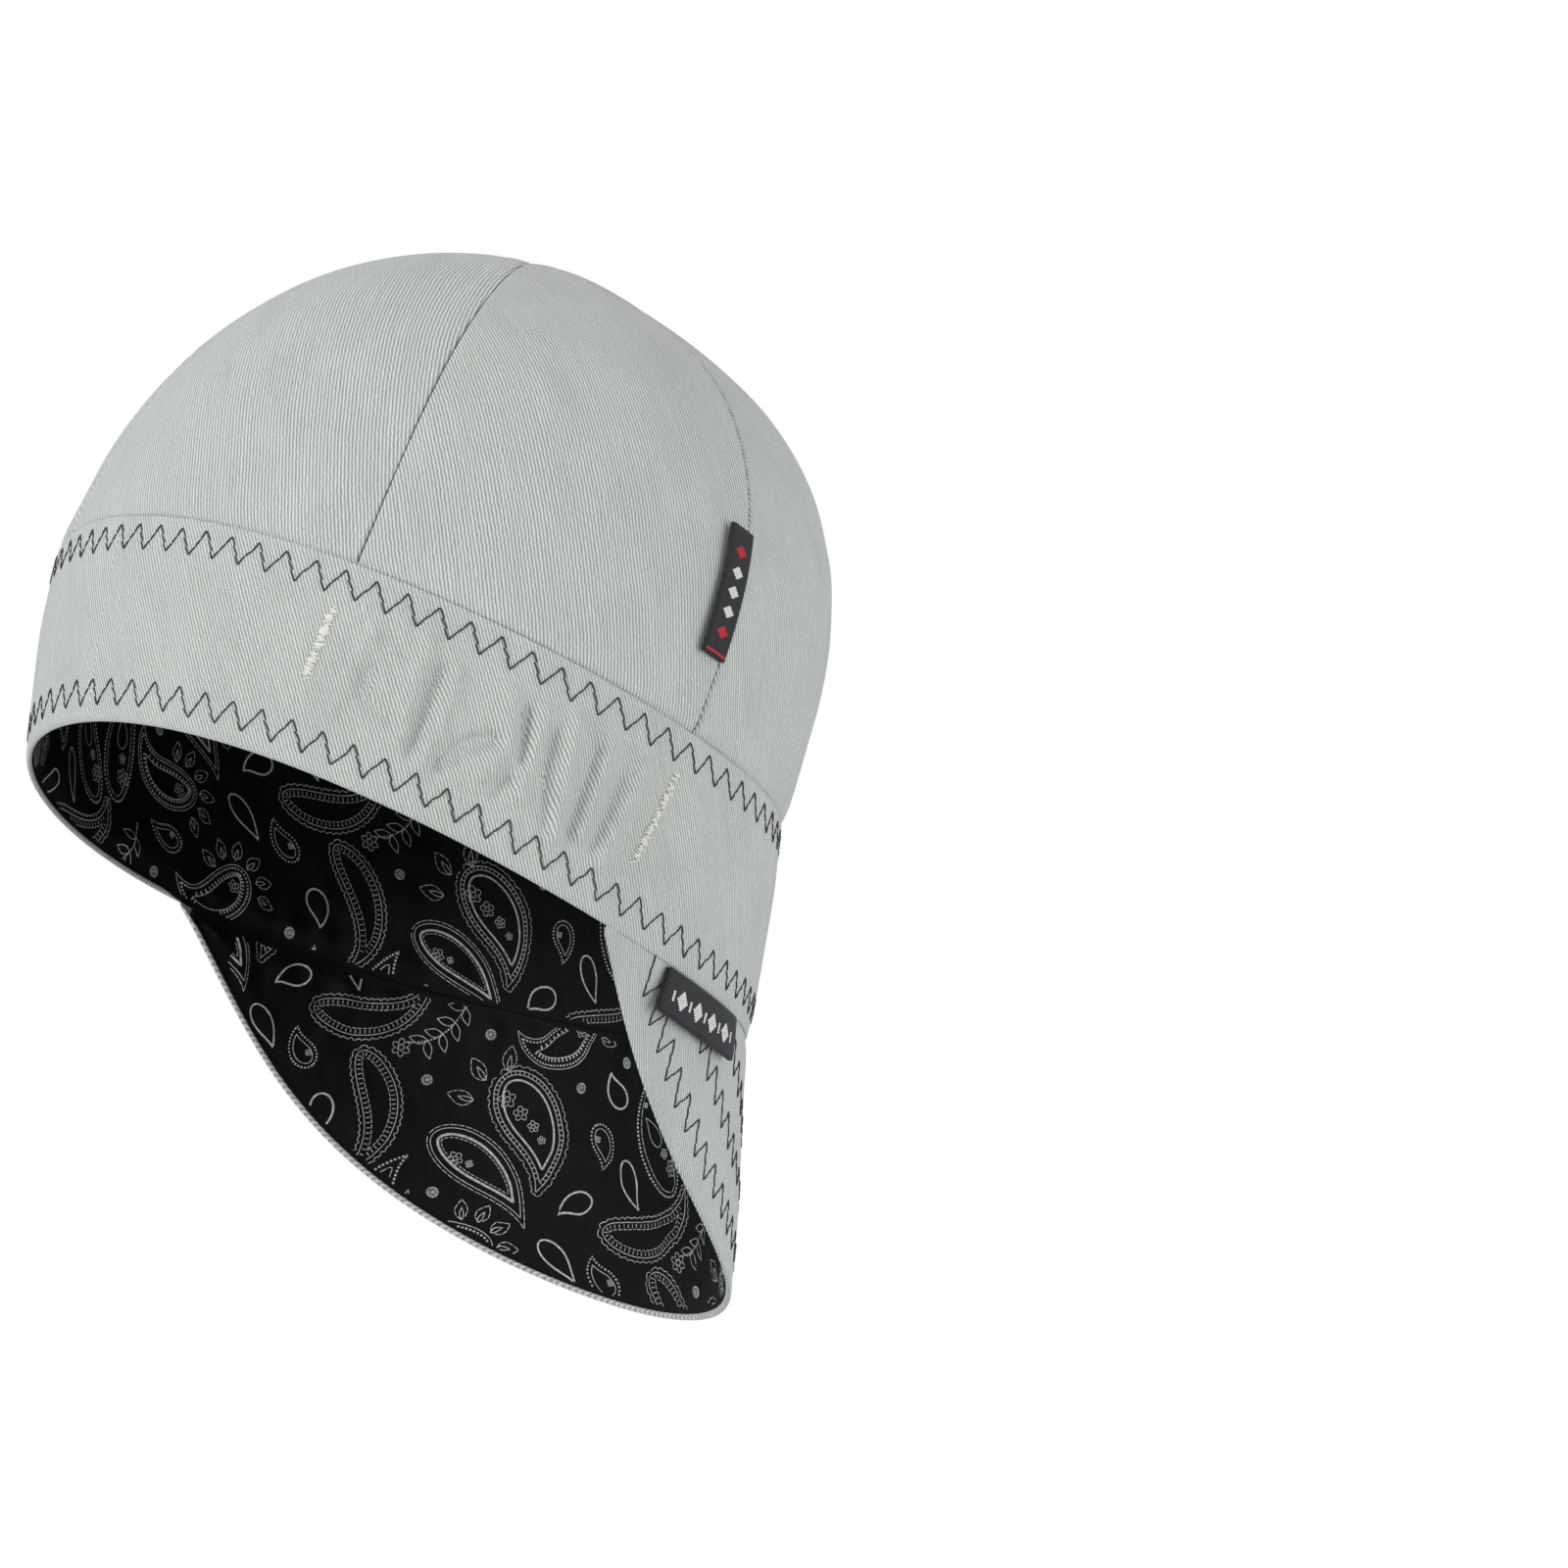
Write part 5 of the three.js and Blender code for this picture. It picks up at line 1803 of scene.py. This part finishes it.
def make_camera(stage):
    """A camera whose middle of view lies off the cap by the cap's place in the picture."""
    right, up, towards = view_axes(stage)
    pixels = stage.focal_length / stage.sensor * stage.picture
    metres = stage.distance / pixels
    across = (stage.middle_x - stage.picture / 2) * metres
    below = (stage.middle_y - stage.picture / 2) * metres
    data = bpy.data.cameras.new("photo_camera")
    data.lens = stage.focal_length
    data.sensor_width = stage.sensor
    data.clip_start = 0.01
    camera = bpy.data.objects.new("photo_camera", data)
    camera.matrix_world = placed((right, up, towards), stage.distance * towards - across * right + below * up)
    bpy.context.scene.collection.objects.link(camera)
    bpy.context.scene.camera = camera


def make_lights(stage):
    """Soft square lights around the cap, each turned to its middle."""
    right, up, towards = view_axes(stage)
    middle = np.array([0, 0, 0.06])
    for name, x, y, z, width, power in LIGHTS:
        way = x * right + y * up + z * towards
        back = way / np.linalg.norm(way)
        side = np.cross([0, 0, 1], back)
        side /= np.linalg.norm(side)
        data = bpy.data.lights.new(f"{name}_light", "AREA")
        data.size = width
        data.energy = power
        light = bpy.data.objects.new(f"{name}_light", data)
        light.matrix_world = placed((side, np.cross(back, side), back), middle + way)
        bpy.context.scene.collection.objects.link(light)


def make_sky(stage):
    """White surroundings: full white where the camera looks past the cap, and softer as light on it."""
    world = bpy.data.worlds.new("white_surroundings")
    world.use_nodes = True
    tree = world.node_tree
    seen_by_camera = add_node(tree, "LightPath")
    strength = add_node(tree, "MapRange", seen_by_camera, 0, 1, stage.sky, 1.0)
    tree.links.new(strength, tree.nodes["Background"].inputs["Strength"])
    tree.nodes["Background"].inputs["Color"].default_value = (1, 1, 1, 1)
    bpy.context.scene.world = world
    bpy.context.scene.view_settings.view_transform = "Standard"


def make_floor(stage):
    """A wide level floor below the cap."""
    half, height = stage.floor_size / 2, CAP_LOW[2] - stage.floor_drop
    corners = [(-half, -half, height), (half, -half, height), (half, half, height), (-half, half, height)]
    mesh = bpy.data.meshes.new("floor")
    mesh.from_pydata(corners, [], [(0, 1, 2, 3)])
    floor = bpy.data.objects.new("floor", mesh)
    floor.data.materials.append(material_of(painted_board_pale))
    bpy.context.scene.collection.objects.link(floor)


# Operators, panel and registering

class CAP_OT_stage(Operator):
    """Makes the camera, the lights, the white surroundings and the floor"""

    bl_idname = "cap.stage"
    bl_label = "Stage"

    def execute(self, context):
        stage = context.scene.cap_stage
        make_camera(stage)
        make_lights(stage)
        make_sky(stage)
        make_floor(stage)
        return {"FINISHED"}


class CAP_OT_crown(Operator):
    """Makes the six outer panels of the crown and their linings"""

    bl_idname = "cap.crown"
    bl_label = "Crown"

    def execute(self, context):
        make_crown(context.scene.cap_shape, context.scene.cap_cloth)
        return {"FINISHED"}


class CAP_OT_band(Operator):
    """Makes the band with its elastic folds and its lining"""

    bl_idname = "cap.band"
    bl_label = "Band"

    def execute(self, context):
        scene = context.scene
        make_band(scene.cap_shape, scene.cap_cloth, scene.cap_stitches)
        make_band_lining(scene.cap_shape, scene.cap_cloth)
        return {"FINISHED"}


class CAP_OT_bill(Operator):
    """Makes the bill and its lining"""

    bl_idname = "cap.bill"
    bl_label = "Bill"

    def execute(self, context):
        scene = context.scene
        make_bill(scene.cap_shape, scene.cap_cloth, scene.cap_stitches)
        make_bill_lining(scene.cap_shape, scene.cap_cloth, scene.cap_stitches)
        return {"FINISHED"}


class CAP_OT_tabs(Operator):
    """Makes the two woven tabs"""

    bl_idname = "cap.tabs"
    bl_label = "Tabs"

    def execute(self, context):
        make_tabs(context.scene.cap_shape, context.scene.cap_tabs)
        return {"FINISHED"}


class CAP_OT_stitching(Operator):
    """Sews the zigzag rows and the elastic's ends"""

    bl_idname = "cap.stitching"
    bl_label = "Stitching"

    def execute(self, context):
        scene = context.scene
        make_zigzags(scene.cap_shape, scene.cap_cloth, scene.cap_stitches)
        make_elastic_ends(scene.cap_shape, scene.cap_cloth, scene.cap_stitches)
        return {"FINISHED"}


class CAP_OT_print(Operator):
    """Prints the linings"""

    bl_idname = "cap.print"
    bl_label = "Lining print"

    def execute(self, context):
        scene = context.scene
        make_prints(scene.cap_shape, scene.cap_cloth, scene.cap_stitches, scene.cap_print)
        return {"FINISHED"}


OPERATORS = (
    CAP_OT_stage,
    CAP_OT_crown,
    CAP_OT_band,
    CAP_OT_bill,
    CAP_OT_tabs,
    CAP_OT_stitching,
    CAP_OT_print,
)
SETTINGS = {
    "cap_shape": CapShape,
    "cap_cloth": CapCloth,
    "cap_stitches": CapStitches,
    "cap_tabs": CapTabs,
    "cap_print": CapPrint,
    "cap_colours": CapColours,
    "cap_stage": CapStage,
}


class CAP_PT_maker(Panel):
    """Lists the cap's operators and its sizes and colours"""

    bl_idname = "CAP_PT_maker"
    bl_label = "Welding cap"
    bl_space_type = "VIEW_3D"
    bl_region_type = "UI"
    bl_category = "Cap"

    def draw(self, context):
        for operator in OPERATORS:
            self.layout.operator(operator.bl_idname)
        for name, group in SETTINGS.items():
            box = self.layout.box()
            box.label(text=group.__name__)
            for setting in group.__annotations__:
                box.prop(getattr(context.scene, name), setting)


def register():
    for group in SETTINGS.values():
        bpy.utils.register_class(group)
    for name, group in SETTINGS.items():
        setattr(bpy.types.Scene, name, PointerProperty(type=group))
    for item in (*OPERATORS, CAP_PT_maker):
        bpy.utils.register_class(item)


def unregister():
    for item in (CAP_PT_maker, *reversed(OPERATORS)):
        bpy.utils.unregister_class(item)
    for name in SETTINGS:
        delattr(bpy.types.Scene, name)
    for group in reversed(SETTINGS.values()):
        bpy.utils.unregister_class(group)


def main():
    """Registers the add-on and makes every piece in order."""
    register()
    bpy.ops.cap.stage()
    bpy.ops.cap.crown()
    bpy.ops.cap.band()
    bpy.ops.cap.bill()
    bpy.ops.cap.tabs()
    bpy.ops.cap.stitching()
    bpy.ops.cap.print()


if __name__ == "__main__":
    main()
